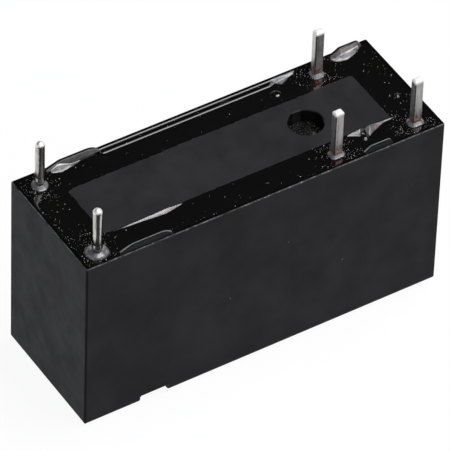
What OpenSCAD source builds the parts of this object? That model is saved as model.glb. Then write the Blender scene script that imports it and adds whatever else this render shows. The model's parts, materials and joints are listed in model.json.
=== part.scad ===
// Slim sealed power relay for circuit boards, five pins, one changeover contact.
// It lies on its closed face with the pins up. X runs from the coil end to the
// contact end, Y from the side with two contact pins to the side with one, and
// Z from the closed face to the pin tips. The origin is the closed face's centre.

/* [Case] */
// Length of the case
case_length = 28.5; // [26:0.1:36]
// Width of the case
case_width = 10; // [9.5:0.1:12.5]
// Height of the case from the closed face to the rim
rim_height = 14.9; // [13:0.1:18]
// Thickness of the side walls
case_wall = 0.7; // [0.5:0.05:0.8]
// Thickness of the closed face
closed_wall = 0.7; // [0.5:0.05:0.9]
// Rounding of the edges round the closed face
face_edge_r = 0.5; // [0.2:0.05:0.6]
// Rounding of the four upright edges
upright_edge_r = 0.15; // [0.15:0.05:0.5]
// Cut along the rim's outer edge
rim_edge_cut = 0.08; // [0.03:0.01:0.12]
// Width of the rim outside the lead-in
rim_land = 0.33; // [0.2:0.01:0.45]
// Depth of the lead-in inside the rim
lead_in_depth = 0.6; // [0.3:0.05:0.8]

/* [Groove across the closed face] */
// Distance of the groove from the coil end
groove_inset = 4.45; // [4:0.05:5]
// Width of the groove
groove_width = 2.35; // [1.5:0.05:3]
// Depth of the groove
groove_depth = 0.7; // [0.4:0.05:0.9]

/* [Standoffs on the rim] */
// Height of the standoffs above the rim
standoff_height = 0.4; // [0.2:0.05:0.6]
// Step of the standoffs back from the outer face
standoff_step = 0.15; // [0.05:0.01:0.2]
// Width of the standoffs' tops, up to which their inner faces lean
standoff_top_width = 0.25; // [0.2:0.05:0.4]
// Length of the standoffs at the coil end
coil_standoff_length = 4.2; // [3:0.1:5]
// Length of their rounded ends
coil_standoff_shoulder = 1; // [0.4:0.1:1.4]
// Distance of the front standoff from the coil end
front_coil_standoff_inset = 2.67; // [2:0.01:4]
// Distance of the back standoff from the coil end
back_coil_standoff_inset = 2.55; // [2:0.01:4]
// Length of the standoffs at the contact end
contact_standoff_length = 2.3; // [1.5:0.1:3]
// Length of their rounded ends
contact_standoff_shoulder = 0.4; // [0.4:0.1:0.8]
// Distance of the front standoff from the contact end
front_contact_standoff_inset = 4.13; // [3:0.01:5]
// Distance of the back standoff from the contact end
back_contact_standoff_inset = 0.72; // [0.6:0.01:2]

/* [Base and sealing] */
// Thickness of the base plate
base_plate = 1.1; // [0.8:0.1:1.4]
// Depth of the sealing trough below the rim
trough_depth = 1.5; // [1.2:0.1:1.8]
// Depth of the sealing resin below the rim
resin_drop = 0.3; // [0.2:0.05:0.5]
// Depth of the island's top below the rim
island_drop = 0.1; // [0:0.05:0.2]
// Distance of the island from the coil end
island_coil_inset = 2.7; // [2.4:0.1:3.5]
// Distance of the island from the contact end
island_contact_inset = 2.75; // [2.2:0.05:3.5]
// Width of the island
island_width = 5.15; // [4.6:0.05:5.4]
// Diameter of the vent's recess
vent_d = 2.5; // [1.8:0.1:2.8]
// Distance of the vent from the contact end
vent_inset = 8.1; // [7:0.05:8.5]
// Diameter of the vent hole
vent_hole_d = 0.8; // [0.4:0.1:1]

/* [Pins] */
// Length of the pins beyond the standoffs
pin_length = 3.5; // [2.5:0.1:5]
// Distance of the coil pins from the coil end
coil_pin_inset = 1.55; // [1.4:0.05:1.9]
// Distance between the two rows of pins
pin_row_gap = 7.5; // [7:0.1:7.6]
// Diameter of the coil pins' wire
coil_wire_d = 0.58; // [0.45:0.01:0.62]
// Thickness of the tin on the pins
tin = 0.05; // [0.01:0.005:0.06]
// How far the bead at the tin's lower end stands out
tin_bead = 0.05; // [0.02:0.01:0.08]
// Length of that bead
tin_bead_length = 0.6; // [0.55:0.01:0.8]
// Length of bare pin above the resin
bare_length = 0.45; // [0.3:0.05:0.8]
// Distance of the last contact pin from the contact end
contact_pin_inset = 1.65; // [1.5:0.05:2]
// Pitch of the contact pins
contact_pitch = 3.2; // [3:0.1:3.5]
// Thickness of the contact terminals' sheet
terminal_sheet = 0.6; // [0.5:0.05:0.7]
// Width of the contact pins before tinning
contact_pin_width = 0.45; // [0.4:0.05:0.6]
// Rounding that the tin gives the contact pins' edges
contact_pin_edge_r = 0.1; // [0.05:0.01:0.15]
// Rounding of the contact pins' tips
contact_pin_tip_r = 0.2; // [0.1:0.01:0.24]

/* [Coil] */
// Distance of the pole face from the coil end
pole_inset = 2.8; // [2.7:0.05:3.4]
// Diameter of the core
core_d = 3.2; // [2.4:0.1:3.6]
// Diameter of the core's pole head
pole_d = 4.8; // [4:0.1:5.4]
// Length of the core's pole head
pole_head = 0.7; // [0.5:0.05:0.9]
// Thickness of the bobbin's flanges
flange = 1; // [0.9:0.05:1.3]
// Wall of the bobbin's tube
bobbin_tube = 0.5; // [0.4:0.05:0.7]
// Thickness of the yoke
yoke_sheet = 1.2; // [1:0.05:1.3]
// Width of the yoke and the armature
yoke_width = 5.8; // [5:0.1:6]
// Thickness of the armature
armature_sheet = 1.2; // [1:0.05:1.3]
// Thickness of the armature's spring
hinge_leaf = 0.15; // [0.1:0.01:0.2]

/* [Card] */
// Thickness of the card at its rails
card_height = 0.9; // [0.7:0.05:1]
// Width of the card
card_width = 4.8; // [4.4:0.1:5]
// Play between the card and what it pushes
card_play = 0.07; // [0.05:0.01:0.12]

/* [Contacts] */
// Gap of the open contact
contact_gap = 0.45; // [0.35:0.01:0.55]
// Diameter of the fixed contacts
fixed_contact_d = 2.4; // [2:0.1:2.8]
// Diameter of the moving contact
moving_contact_d = 2.2; // [1.8:0.1:2.6]
// Height of a fixed contact's head
fixed_head = 0.5; // [0.4:0.05:0.6]
// Height of each head of the moving contact
moving_head = 0.45; // [0.35:0.05:0.5]
// Radius of the contacts' crowns
crown_r = 4; // [3:0.5:8]
// Thickness of the moving blade
blade = 0.2; // [0.12:0.01:0.25]
// Thickness of the wall between coil and contacts
barrier = 0.8; // [0.6:0.05:1]

/* [Hidden] */

$fn = 64;
over = 1;            // how far a cutting shape runs past what it cuts
slide_fit = 0.05;    // play of a piece that drops into its place
snug_fit = 0.02;     // play of a piece that is held tight
side_gap = 0.1;      // play of the bobbin and the card beside what guides them
closed_gap = 0.03;   // play left where contacts or pole faces meet

// Ends of the case and the cavity in it
coil_end = -case_length / 2;
contact_end = case_length / 2;
cavity_x = case_length / 2 - case_wall;
cavity_y = case_width / 2 - case_wall;
cavity_r = 0.25;

// Levels from the closed face up
groove_rib_z = groove_depth + closed_wall;
card_z = groove_rib_z + 0.2;
card_top_z = card_z + card_height;
card_mid_z = card_z + card_height / 2;
flange_z = card_top_z + 0.15;
standoff_z = rim_height + standoff_height;
pin_tip_z = standoff_z + pin_length;
lead_in_z = rim_height - lead_in_depth;
trough_z = rim_height - trough_depth;
resin_z = rim_height - resin_drop;
island_z = rim_height - island_drop;
base_z = trough_z - base_plate;
yoke_z = base_z - yoke_sheet;
flange_top_z = yoke_z - slide_fit;
axis_z = (flange_z + flange_top_z) / 2;
tinned_z = resin_z + bare_length;

// Places along X from the two ends
coil_pin_x = coil_end + coil_pin_inset;
pole_x = coil_end + pole_inset;
coil_flange_x = pole_x + 0.2;
no_pin_x = contact_end - contact_pin_inset;
com_pin_x = no_pin_x - contact_pitch;
nc_pin_x = com_pin_x - contact_pitch;
vent_x = contact_end - vent_inset;
barrier_x = nc_pin_x - terminal_sheet / 2 - 1.2 - barrier;
yoke_leg_x = barrier_x - 0.6 - yoke_sheet;
contact_flange_x = yoke_leg_x - slide_fit - flange;
island_x0 = coil_end + island_coil_inset;
island_x1 = contact_end - island_contact_inset;
pin_y = pin_row_gap / 2;

// Bobbin, winding and the ears that hold the coil terminals
flange_y = cavity_y - side_gap;
winding_x = coil_flange_x + flange;
winding_length = contact_flange_x - winding_x;
tube_r = core_d / 2 + slide_fit + bobbin_tube;
winding_r = min(flange_y, (flange_top_z - flange_z) / 2) - 0.2;
tape = 0.1;
ear_y = yoke_width / 2 + 0.25;
ear_x = coil_end + case_wall + 0.15;
ear_height = 3;
foot_y = card_width / 2 + side_gap;
foot_width = 0.7;
foot_length = 0.7;

// Contacts: the blade lies at rest on the terminal plate's coil side
plate_height = 1.9;
blade_x = com_pin_x - terminal_sheet / 2;
nc_blade_x = blade_x - blade - moving_head - closed_gap - fixed_head;
no_blade_x = blade_x + moving_head + contact_gap + fixed_head;
contact_z = card_top_z + 1.8;
blade_hinge_z = base_z - plate_height;
blade_tip_z = card_z + 0.15;
stake_z = blade_hinge_z + plate_height / 2;
stake_y = 1;
stake_d = 0.9;
stake_head = 0.15;
stake_play = 0.1;
blade_width = 3.6;

// Travel, worked back from the contact gap to the card and the armature
blade_angle = asin((contact_gap - closed_gap) / (blade_hinge_z - contact_z));
nib_height = 0.4;
nib_top_z = card_mid_z + nib_height / 2;
card_travel = (blade_hinge_z - nib_top_z) * sin(blade_angle) + card_play - 0.01;
hinge_z = base_z - 0.15;
hinge_x = pole_x - snug_fit;
armature_angle = atan(card_travel / (hinge_z - card_mid_z));

// Armature and card
shoulder_drop = hinge_z - card_top_z - 0.25;
tongue_drop = hinge_z - card_z + 0.25;
tongue_width = 2.4;
card_x = hinge_x - card_travel + slide_fit;
nib_x = blade_x - blade - card_play;
card_floor = 0.6;

// Leads from the winding to the coil terminals
lead_d = 0.15;
post_length = 1.1;
ear_z = base_z - ear_height;
lead_z = ear_z - 0.45;
lead_finish_y = winding_r - 0.3;
lead_finish_z = axis_z + sqrt(pow(winding_r + lead_d / 2 + snug_fit, 2) - pow(lead_finish_y, 2));

// Vent, rivets and stakes
vent_floor_z = trough_z + 0.1;
tenon_d = 2.2;
yoke_stake_x = pole_x + 3;
yoke_stake_y = 1.3;
yoke_stake_d = 0.9;
rivet_shank_d = 1.2;

// Flat outlines

module rounded_rect(length, width, r) {
    union() {
        square([length - 2 * r, width], center = true);
        square([length, width - 2 * r], center = true);
        for (x = [-1, 1], y = [-1, 1])
            translate([x * (length / 2 - r), y * (width / 2 - r)])
                circle(r);
    }
}

// Upright outline with its two lower corners rounded
module round_bottomed(width, height, r) {
    translate([-width / 2, r])
        square([width, height - r]);
    translate([-width / 2 + r, 0])
        square([width - 2 * r, height]);
    for (side = [-1, 1])
        translate([side * (width / 2 - r), r])
            circle(r);
}

// Upright outline with its lower corners rounded and its upper ones cut off
module cut_topped(width, height, r, cut) {
    round_bottomed(width, height - cut, r);
    polygon([
        [-width / 2, height / 2], [width / 2, height / 2], [width / 2, height - cut],
        [width / 2 - cut, height], [-width / 2 + cut, height], [-width / 2, height - cut]
    ]);
}

// Upright outline that widens from half width a at z0 to half width b at z1
module widening(a, b, z0, z1) {
    polygon([[-a, z0], [a, z0], [b, z1], [-b, z1]]);
}

// Extrudes an outline drawn in X and Z along Y, about Y = 0
module along_y(width) {
    rotate([90, 0, 0])
        linear_extrude(width, center = true)
            children();
}

// Extrudes an outline drawn in Y and Z along X, from x
module along_x(x, length) {
    translate([x, 0, 0])
        rotate([90, 0, 90])
            linear_extrude(length)
                children();
}

// Box given by its corners, symmetrical about Y = 0
module centred_box(x0, x1, width, z0, z1) {
    translate([x0, -width / 2, z0])
        cube([x1 - x0, width, z1 - z0]);
}

// Straight round wire from p to q
module rod(p, q, d) {
    run = q - p;
    translate(p)
        rotate([0, acos(run.z / norm(run)), atan2(run.y, run.x)])
            cylinder(h = norm(run), d = d);
}

// Case

module cover_block() {
    x = case_length / 2 - upright_edge_r;
    y = case_width / 2 - upright_edge_r;
    intersection() {
        union() {
            centred_box(coil_end, contact_end, 2 * y, 0, rim_height);
            centred_box(-x, x, case_width, 0, rim_height);
            for (i = [-1, 1], j = [-1, 1])
                translate([i * x, j * y, 0]) {
                    cylinder(h = rim_height - rim_edge_cut, r = upright_edge_r);
                    translate([0, 0, rim_height - rim_edge_cut])
                        cylinder(
                            h = rim_edge_cut, r1 = upright_edge_r,
                            r2 = upright_edge_r - rim_edge_cut
                        );
                }
        }
        along_y(case_width + over)
            cut_topped(case_length, rim_height, face_edge_r, rim_edge_cut);
        along_x(coil_end - over, case_length + 2 * over)
            cut_topped(case_width, rim_height, face_edge_r, rim_edge_cut);
    }
}

// Room inside the cover between two levels, with the lead-in at the rim
module cavity(z0, z1) {
    flare = case_wall - rim_land;
    top = rim_height + over;
    grow = flare * (top - lead_in_z) / lead_in_depth;
    if (z0 < lead_in_z)
        translate([0, 0, z0])
            linear_extrude(min(z1, lead_in_z) - z0)
                rounded_rect(2 * cavity_x, 2 * cavity_y, cavity_r);
    if (z1 > lead_in_z)
        intersection() {
            along_y(case_width + 2 * over)
                widening(cavity_x, cavity_x + grow, lead_in_z, top);
            along_x(coil_end - over, case_length + 2 * over)
                widening(cavity_y, cavity_y + grow, lead_in_z, top);
            translate([0, 0, (lead_in_z + z1) / 2])
                cube([case_length + 2 * over, case_width + 2 * over, z1 - lead_in_z], center = true);
        }
}

// One standoff on the rim, ramped at one end and rounded at the other; side is -1 for the
// front wall and 1 for the back
module standoff(x0, length, shoulder, side) {
    ramp = 0.26 * length;
    rise = standoff_z - rim_height;
    shoulder_r = (shoulder * shoulder + rise * rise) / (2 * rise);
    shoulder_x = x0 + length - shoulder;
    depth = case_wall - standoff_step;
    y0 = side > 0 ? cavity_y : -cavity_y - depth;
    translate([0, y0 + depth, 0])
        rotate([90, 0, 0])
            linear_extrude(depth) {
                polygon([
                    [x0, lead_in_z], [shoulder_x, lead_in_z],
                    [shoulder_x, standoff_z], [x0 + ramp, standoff_z], [x0, rim_height]
                ]);
                translate([shoulder_x, lead_in_z])
                    square([shoulder, rim_height - lead_in_z]);
                intersection() {
                    translate([shoulder_x, rim_height])
                        square([shoulder, rise]);
                    translate([shoulder_x, standoff_z - shoulder_r])
                        circle(shoulder_r);
                }
            }
}

module standoffs() {
    front_x = contact_end - front_contact_standoff_inset - contact_standoff_length;
    back_x = contact_end - back_contact_standoff_inset - contact_standoff_length;
    lean = (case_wall - standoff_step - standoff_top_width) / (standoff_z - lead_in_z);
    top = standoff_z + over;
    difference() {
        union() {
            standoff(
                coil_end + front_coil_standoff_inset, coil_standoff_length,
                coil_standoff_shoulder, -1
            );
            standoff(
                coil_end + back_coil_standoff_inset, coil_standoff_length,
                coil_standoff_shoulder, 1
            );
            standoff(front_x, contact_standoff_length, contact_standoff_shoulder, -1);
            standoff(back_x, contact_standoff_length, contact_standoff_shoulder, 1);
        }
        along_x(coil_end, case_length)
            widening(cavity_y, cavity_y + lean * (top - lead_in_z), lead_in_z, top);
    }
}

module groove() {
    groove_r = 0.15;
    translate([coil_end + groove_inset + groove_width / 2, 0, groove_depth])
        mirror([0, 0, 1])
            along_y(case_width + 2 * over)
                round_bottomed(groove_width, groove_depth + over, groove_r);
}

// Shelf inside the contact end that the base seats on
module base_shelf() {
    centred_box(cavity_x - 0.35, cavity_x + 0.1, 3, closed_wall - 0.1, base_z);
}

module cover() {
    color("#2b2b2d") {
        difference() {
            cover_block();
            difference() {
                cavity(closed_wall, rim_height + over);
                centred_box(
                    coil_end + groove_inset - closed_wall,
                    coil_end + groove_inset + groove_width + closed_wall,
                    case_width, 0, groove_rib_z
                );
            }
            groove();
        }
        standoffs();
        base_shelf();
    }
}

// Raised island of the base, with its top edge broken
module island() {
    chamfer = 0.1;
    corner_r = 0.25;
    length = island_x1 - island_x0;
    middle = (island_x0 + island_x1) / 2;
    translate([middle, 0, 0])
        intersection() {
            translate([0, 0, trough_z - 0.1])
                linear_extrude(island_z - trough_z + 0.1)
                    rounded_rect(length, island_width, corner_r);
            along_y(island_width + over)
                polygon([
                    [-length / 2, 0], [length / 2, 0],
                    [length / 2, island_z - chamfer], [length / 2 - chamfer, island_z],
                    [-length / 2 + chamfer, island_z], [-length / 2, island_z - chamfer]
                ]);
            along_x(-length / 2 - over, length + 2 * over)
                polygon([
                    [-island_width / 2, 0], [island_width / 2, 0],
                    [island_width / 2, island_z - chamfer], [island_width / 2 - chamfer, island_z],
                    [-island_width / 2 + chamfer, island_z], [-island_width / 2, island_z - chamfer]
                ]);
        }
}

module base() {
    plate_x = cavity_x - slide_fit;
    plate_y = cavity_y - slide_fit;
    leaf_pocket = 0.35;
    roof = 0.9;
    color("#343437")
        difference() {
            union() {
                translate([0, 0, base_z])
                    linear_extrude(base_plate)
                        rounded_rect(2 * plate_x, 2 * plate_y, cavity_r);
                island();
                centred_box(barrier_x, barrier_x + barrier, 2 * plate_y,
                    card_top_z + 0.25, base_z + 0.1);
            }
            // Room for the armature's spring, and the island cored out over the yoke
            centred_box(ear_x - 0.1, pole_x + 5, yoke_width - 0.6, base_z - over, base_z + leaf_pocket);
            centred_box(island_x0 + roof, yoke_leg_x, 3.6, base_z - over, island_z - roof);
            // Vent from the recess in the island down to the contacts
            translate([vent_x, 0, vent_floor_z])
                cylinder(h = island_z, d = vent_d);
            translate([vent_x, 0, island_z - 0.1])
                cylinder(h = 0.2, d1 = vent_d, d2 = vent_d + 0.4);
            translate([vent_x, 0, base_z - over])
                cylinder(h = island_z, d = vent_hole_d);
            pin_holes(snug_fit, base_z - over, trough_z + over);
        }
}

// The five pins' bare stretches, grown by a play, from z0 to z1
module pin_holes(play, z0, z1) {
    for (side = [-1, 1])
        translate([coil_pin_x, side * pin_y, z0])
            cylinder(h = z1 - z0, d = coil_wire_d + 2 * play);
    for (place = [[nc_pin_x, -1], [com_pin_x, 1], [no_pin_x, -1]])
        translate([place.x, place.y * pin_y, (z0 + z1) / 2])
            cube([terminal_sheet + 2 * play, contact_pin_width + 2 * play, z1 - z0], center = true);
}

// Resin drawn up round a pin
module pin_meniscus(x, y) {
    climb = 0.22;
    reach = 0.78;
    translate([x, y, resin_z - 0.1])
        rotate_extrude()
            polygon([
                [0, 0], [reach, 0], [reach, 0.1],
                [0.62 * reach, 0.1 + 0.2 * climb], [0.44 * reach, 0.1 + climb], [0, 0.1 + climb]
            ]);
}

module edge_seal() {
    color("#101012")
        difference() {
            union() {
                cavity(trough_z, resin_z);
                intersection() {
                    union() {
                        for (side = [-1, 1])
                            pin_meniscus(coil_pin_x, side * pin_y);
                        pin_meniscus(nc_pin_x, -pin_y);
                        pin_meniscus(com_pin_x, pin_y);
                        pin_meniscus(no_pin_x, -pin_y);
                    }
                    cavity(lead_in_z, rim_height + over);
                }
            }
            island();
            standoffs();
            pin_holes(0, trough_z - over, resin_z + over);
        }
}

module vent_seal() {
    plug = 0.3;
    stem = vent_floor_z - base_z - 0.5;
    color("#0c0c0d")
        translate([vent_x, 0, vent_floor_z]) {
            cylinder(h = plug, d = vent_d - 2 * snug_fit);
            translate([0, 0, -stem])
                cylinder(h = stem + plug, d = vent_hole_d - 2 * snug_fit);
        }
}

// Coil and magnetic circuit

module bobbin_foot(x, side) {
    y = side > 0 ? foot_y : -foot_y - foot_width;
    translate([x, y, closed_wall])
        cube([foot_length, foot_width, flange_z + 0.2 - closed_wall]);
}

module bobbin_ear(side) {
    y = side > 0 ? ear_y : -flange_y;
    difference() {
        translate([ear_x, y, ear_z])
            cube([winding_x - ear_x, flange_y - ear_y, ear_height]);
        translate([coil_pin_x, side * pin_y, ear_z - over])
            cylinder(h = ear_height + 2 * over, d = coil_wire_d + 2 * snug_fit);
    }
}

module bobbin_flange(x) {
    translate([x, -flange_y, flange_z])
        cube([flange, 2 * flange_y, flange_top_z - flange_z]);
}

// Slot in the coil end's flange that a lead passes through
module lead_slot(side) {
    depth = cavity_y - winding_r + 0.55;
    y = side > 0 ? cavity_y - depth : -cavity_y;
    z0 = min(lead_z - 0.4, lead_finish_z - 0.15);
    translate([coil_flange_x - over, y, z0])
        cube([flange + 2 * over, depth, lead_z + 0.4 - z0]);
}

module bobbin() {
    color("#d9d6c8")
        difference() {
            union() {
                translate([coil_flange_x, 0, axis_z])
                    rotate([0, 90, 0])
                        cylinder(h = contact_flange_x + flange - coil_flange_x, r = tube_r);
                bobbin_flange(coil_flange_x);
                bobbin_flange(contact_flange_x);
                for (side = [-1, 1]) {
                    bobbin_foot(coil_flange_x, side);
                    bobbin_foot(contact_flange_x, side);
                    bobbin_ear(side);
                }
            }
            translate([coil_flange_x - over, 0, axis_z])
                rotate([0, 90, 0]) {
                    cylinder(h = case_length, r = core_d / 2 + slide_fit);
                    cylinder(h = over + pole_head - (coil_flange_x - pole_x), r = pole_d / 2 + slide_fit);
                }
            for (side = [-1, 1])
                lead_slot(side);
        }
}

module tube_along_x(x, length, r_in, r_out) {
    translate([x, 0, axis_z])
        rotate([0, 90, 0])
            difference() {
                cylinder(h = length, r = r_out);
                translate([0, 0, -over])
                    cylinder(h = length + 2 * over, r = r_in);
            }
}

module winding() {
    color("#b5651d")
        tube_along_x(winding_x + snug_fit, winding_length - 2 * snug_fit, tube_r + snug_fit, winding_r);
}

module coil_tape() {
    edge = 0.7;
    color("#e0b83c")
        tube_along_x(winding_x + edge, winding_length - 2 * edge, winding_r + snug_fit,
            winding_r + snug_fit + tape);
}

module core() {
    rivet_d = 2.8;
    rivet_head = 0.15;
    color("#9a9c9f")
        translate([pole_x, 0, axis_z])
            rotate([0, 90, 0]) {
                cylinder(h = pole_head, d = pole_d);
                cylinder(h = yoke_leg_x - pole_x, d = core_d);
                cylinder(h = yoke_leg_x + yoke_sheet + rivet_head - pole_x, d = tenon_d);
                translate([0, 0, yoke_leg_x + yoke_sheet - pole_x])
                    cylinder(h = rivet_head, d = rivet_d);
            }
}

module yoke() {
    leg_z = axis_z - 3.6;
    far_x = yoke_leg_x + yoke_sheet;
    color("#8f9195")
        difference() {
            union() {
                along_y(yoke_width)
                    difference() {
                        union() {
                            translate([pole_x, yoke_z])
                                square([far_x - pole_x, yoke_sheet]);
                            translate([yoke_leg_x, leg_z])
                                square([yoke_sheet, base_z - leg_z]);
                        }
                        bend_corner(far_x, base_z, 1, 1, yoke_sheet);
                    }
                for (side = [-1, 1])
                    translate([yoke_stake_x, side * yoke_stake_y, base_z - 0.1])
                        cylinder(h = 0.1 + hinge_leaf + 0.1, d = yoke_stake_d);
            }
            translate([yoke_leg_x - over, 0, axis_z])
                rotate([0, 90, 0])
                    cylinder(h = yoke_sheet + 2 * over, d = tenon_d + 2 * snug_fit);
        }
}

// Places what is drawn about the hinge, with the armature dropped out
module at_armature() {
    translate([hinge_x, 0, hinge_z])
        rotate([0, armature_angle, 0])
            children();
}

module armature() {
    chamfer = 0.6;
    half = yoke_width / 2;
    color("#a3a5a8")
        at_armature()
            along_x(-armature_sheet, armature_sheet)
                polygon([
                    [-half, 0], [half, 0],
                    [half, -shoulder_drop + chamfer], [half - chamfer, -shoulder_drop],
                    [tongue_width / 2, -shoulder_drop], [tongue_width / 2, -tongue_drop],
                    [-tongue_width / 2, -tongue_drop], [-tongue_width / 2, -shoulder_drop],
                    [-half + chamfer, -shoulder_drop], [-half, -shoulder_drop + chamfer]
                ]);
}

// Leaf staked to the yoke and bent down over the armature
module hinge_spring() {
    leaf_width = 4.2;
    leg = 1.9;
    stand_off = 0.06;
    outer = armature_sheet + stand_off + hinge_leaf;
    color("#c9b27a")
        difference() {
            union() {
                centred_box(hinge_x - outer, yoke_stake_x + 0.9, leaf_width, base_z, base_z + hinge_leaf);
                at_armature()
                    centred_box(-outer, -outer + hinge_leaf, leaf_width, -leg, base_z - hinge_z + 0.04);
            }
            for (side = [-1, 1])
                translate([yoke_stake_x, side * yoke_stake_y, base_z - over])
                    cylinder(h = 2 * over, d = yoke_stake_d + 2 * snug_fit);
        }
}

// Card that carries the armature's motion under the coil to the blade
module card() {
    fork_length = 0.85;
    fork_width = 0.7;
    notch = tongue_width + 2 * side_gap;
    end_x = nib_x - 0.4;
    rail = 0.6;
    window_x = card_x + 3;
    window_length = (end_x - card_x - 9) / 2;
    color("#e8e4d6") {
        difference() {
            centred_box(card_x, end_x, card_width, card_z, card_top_z);
            centred_box(card_x + 1.2, end_x - 1.2, card_width - 2 * rail, card_z + card_floor, card_top_z + over);
            for (i = [0, 1])
                centred_box(window_x + i * (window_length + 3), window_x + i * (window_length + 3) + window_length,
                    card_width - 4 * rail, card_z - over, card_top_z);
        }
        for (side = [-1, 1])
            translate([card_x - fork_length, side * (notch + fork_width) / 2 - fork_width / 2, card_z])
                cube([fork_length + 0.1, fork_width, card_height]);
        centred_box(end_x - 0.1, nib_x, 2, card_mid_z - nib_height / 2, nib_top_z);
    }
}

// Coil terminals and their leads

// Round wire up to the bare stretch, then tinned, with a long bead where the tin starts
module coil_terminal(side) {
    wire_r = coil_wire_d / 2;
    tip_r = wire_r + tin;
    bead_r = tip_r + tin_bead;
    bead_end_z = tinned_z + tin_bead_length;
    color("#c9c9c6")
        translate([coil_pin_x, side * pin_y, 0]) {
            translate([0, 0, ear_z - post_length])
                cylinder(h = bead_end_z - ear_z + post_length, r = wire_r);
            translate([0, 0, tinned_z])
                cylinder(h = tin_bead_length / 2, r1 = wire_r, r2 = bead_r);
            translate([0, 0, tinned_z + tin_bead_length / 2])
                cylinder(h = tin_bead_length / 2, r1 = bead_r, r2 = tip_r);
            translate([0, 0, bead_end_z])
                cylinder(h = pin_tip_z - tip_r - bead_end_z, r = tip_r);
            translate([0, 0, pin_tip_z - tip_r])
                sphere(tip_r);
        }
}

// Wound stack of turns round a post, drawn about Z from z = 0 up
module turns(count, turn_r) {
    for (i = [0 : count - 1])
        translate([0, 0, i * 0.8 * lead_d])
            rotate_extrude()
                translate([turn_r, 0])
                    circle(lead_d / 2);
}

module coil_lead(side) {
    turn_r = (coil_wire_d + lead_d) / 2 + 0.01;
    start = [coil_pin_x, side * (pin_y + turn_r), lead_z];
    slot = [coil_flange_x + 0.3, side * (lead_finish_y + 0.1), lead_z];
    finish = [winding_x + 0.3, side * lead_finish_y, lead_finish_z];
    color("#c0722f") {
        translate([coil_pin_x, side * pin_y, lead_z - 0.8 * lead_d])
            turns(4, turn_r);
        rod(start, slot + [lead_d / 3, 0, 0], lead_d);
        rod(slot, finish, lead_d);
    }
}

// Contact terminals

// Tinned stretch of a flat pin, with its edges and its tip rounded
module flat_pin(x, y) {
    length = terminal_sheet + 2 * tin;
    width = contact_pin_width + 2 * tin;
    height = pin_tip_z - tinned_z;
    translate([x, y, pin_tip_z])
        intersection() {
            mirror([0, 0, 1])
                along_y(2)
                    round_bottomed(length, height, contact_pin_tip_r);
            mirror([0, 0, 1])
                along_x(-1, 2)
                    round_bottomed(width, height, contact_pin_tip_r);
            translate([0, 0, -height - over])
                linear_extrude(height + 2 * over)
                    rounded_rect(length, width, contact_pin_edge_r);
        }
}

// Fixed contact terminal: a pin, a step under the base and a blade at blade_left
module fixed_terminal(pin_x, blade_left) {
    t = terminal_sheet;
    outward = blade_left > pin_x ? 1 : -1;
    step_x0 = min(pin_x - t / 2, blade_left);
    step_x1 = max(pin_x + t / 2, blade_left + t);
    blade_z = card_top_z + 0.3;
    neck_y = -pin_y - contact_pin_width / 2;
    half = 1.7;
    corner = 0.5;
    hole_z = contact_z;
    difference() {
        intersection() {
            along_y(case_width) {
                translate([pin_x - t / 2, base_z - t])
                    square([t, tinned_z - base_z + t + 0.1]);
                difference() {
                    translate([step_x0, base_z - t])
                        square([step_x1 - step_x0, t]);
                    bend_corner(outward > 0 ? step_x1 : step_x0, base_z, outward, 1, t);
                    bend_corner(outward > 0 ? step_x0 : step_x1, base_z - t, -outward, -1, t);
                }
                translate([blade_left, blade_z])
                    square([t, base_z - t - blade_z]);
            }
            along_x(step_x0 - over, step_x1 - step_x0 + 2 * over)
                polygon([
                    [neck_y, tinned_z + 0.1], [neck_y + contact_pin_width, tinned_z + 0.1],
                    [neck_y + contact_pin_width, base_z], [neck_y + 2.6, base_z],
                    [neck_y + 2.6, base_z - 1.8], [half, contact_z + 3.2],
                    [half, blade_z + corner], [half - corner, blade_z],
                    [-half + corner, blade_z], [-half, blade_z + corner],
                    [-half, contact_z + 2.4], [neck_y, base_z - 3.4]
                ]);
        }
        translate([blade_left - over, 0, hole_z])
            rotate([0, 90, 0])
                cylinder(h = t + 2 * over, d = rivet_shank_d + 2 * snug_fit);
    }
    flat_pin(pin_x, -pin_y);
}

// What a bend's outer radius leaves away at the corner x, z
module bend_corner(x, z, toward_x, toward_z, r) {
    translate([x, z])
        scale_sign(-toward_x, -toward_z)
            difference() {
                translate([-over, -over])
                    square(r + over);
                translate([r, r])
                    circle(r);
            }
}

// Mirrors what is drawn toward +X and +Y to the sides that the signs name
module scale_sign(x, y) {
    mirror([x < 0 ? 1 : 0, 0])
        mirror([0, y < 0 ? 1 : 0])
            children();
}

module nc_terminal() {
    color("#b9a27c")
        fixed_terminal(nc_pin_x, nc_blade_x - terminal_sheet);
}

module no_terminal() {
    color("#b9a27c")
        fixed_terminal(no_pin_x, no_blade_x);
}

module com_terminal() {
    t = terminal_sheet;
    plate_y = 1.8;
    pin_edge = pin_y + contact_pin_width / 2;
    head_x = blade_x - blade - stake_play - stake_head;
    color("#b9a27c") {
        along_x(blade_x, t)
            polygon([
                [pin_edge - contact_pin_width, tinned_z + 0.1], [pin_edge, tinned_z + 0.1],
                [pin_edge, base_z - 1], [pin_edge - 0.9, blade_hinge_z],
                [-plate_y, blade_hinge_z], [-plate_y, base_z], [pin_edge - contact_pin_width, base_z]
            ]);
        for (side = [-1, 1])
            translate([head_x, side * stake_y, stake_z])
                rotate([0, 90, 0]) {
                    cylinder(h = blade_x - head_x + 0.1, d = stake_d);
                    cylinder(h = stake_head, d = stake_d + 0.4);
                }
        flat_pin(com_pin_x, pin_y);
    }
}

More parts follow.
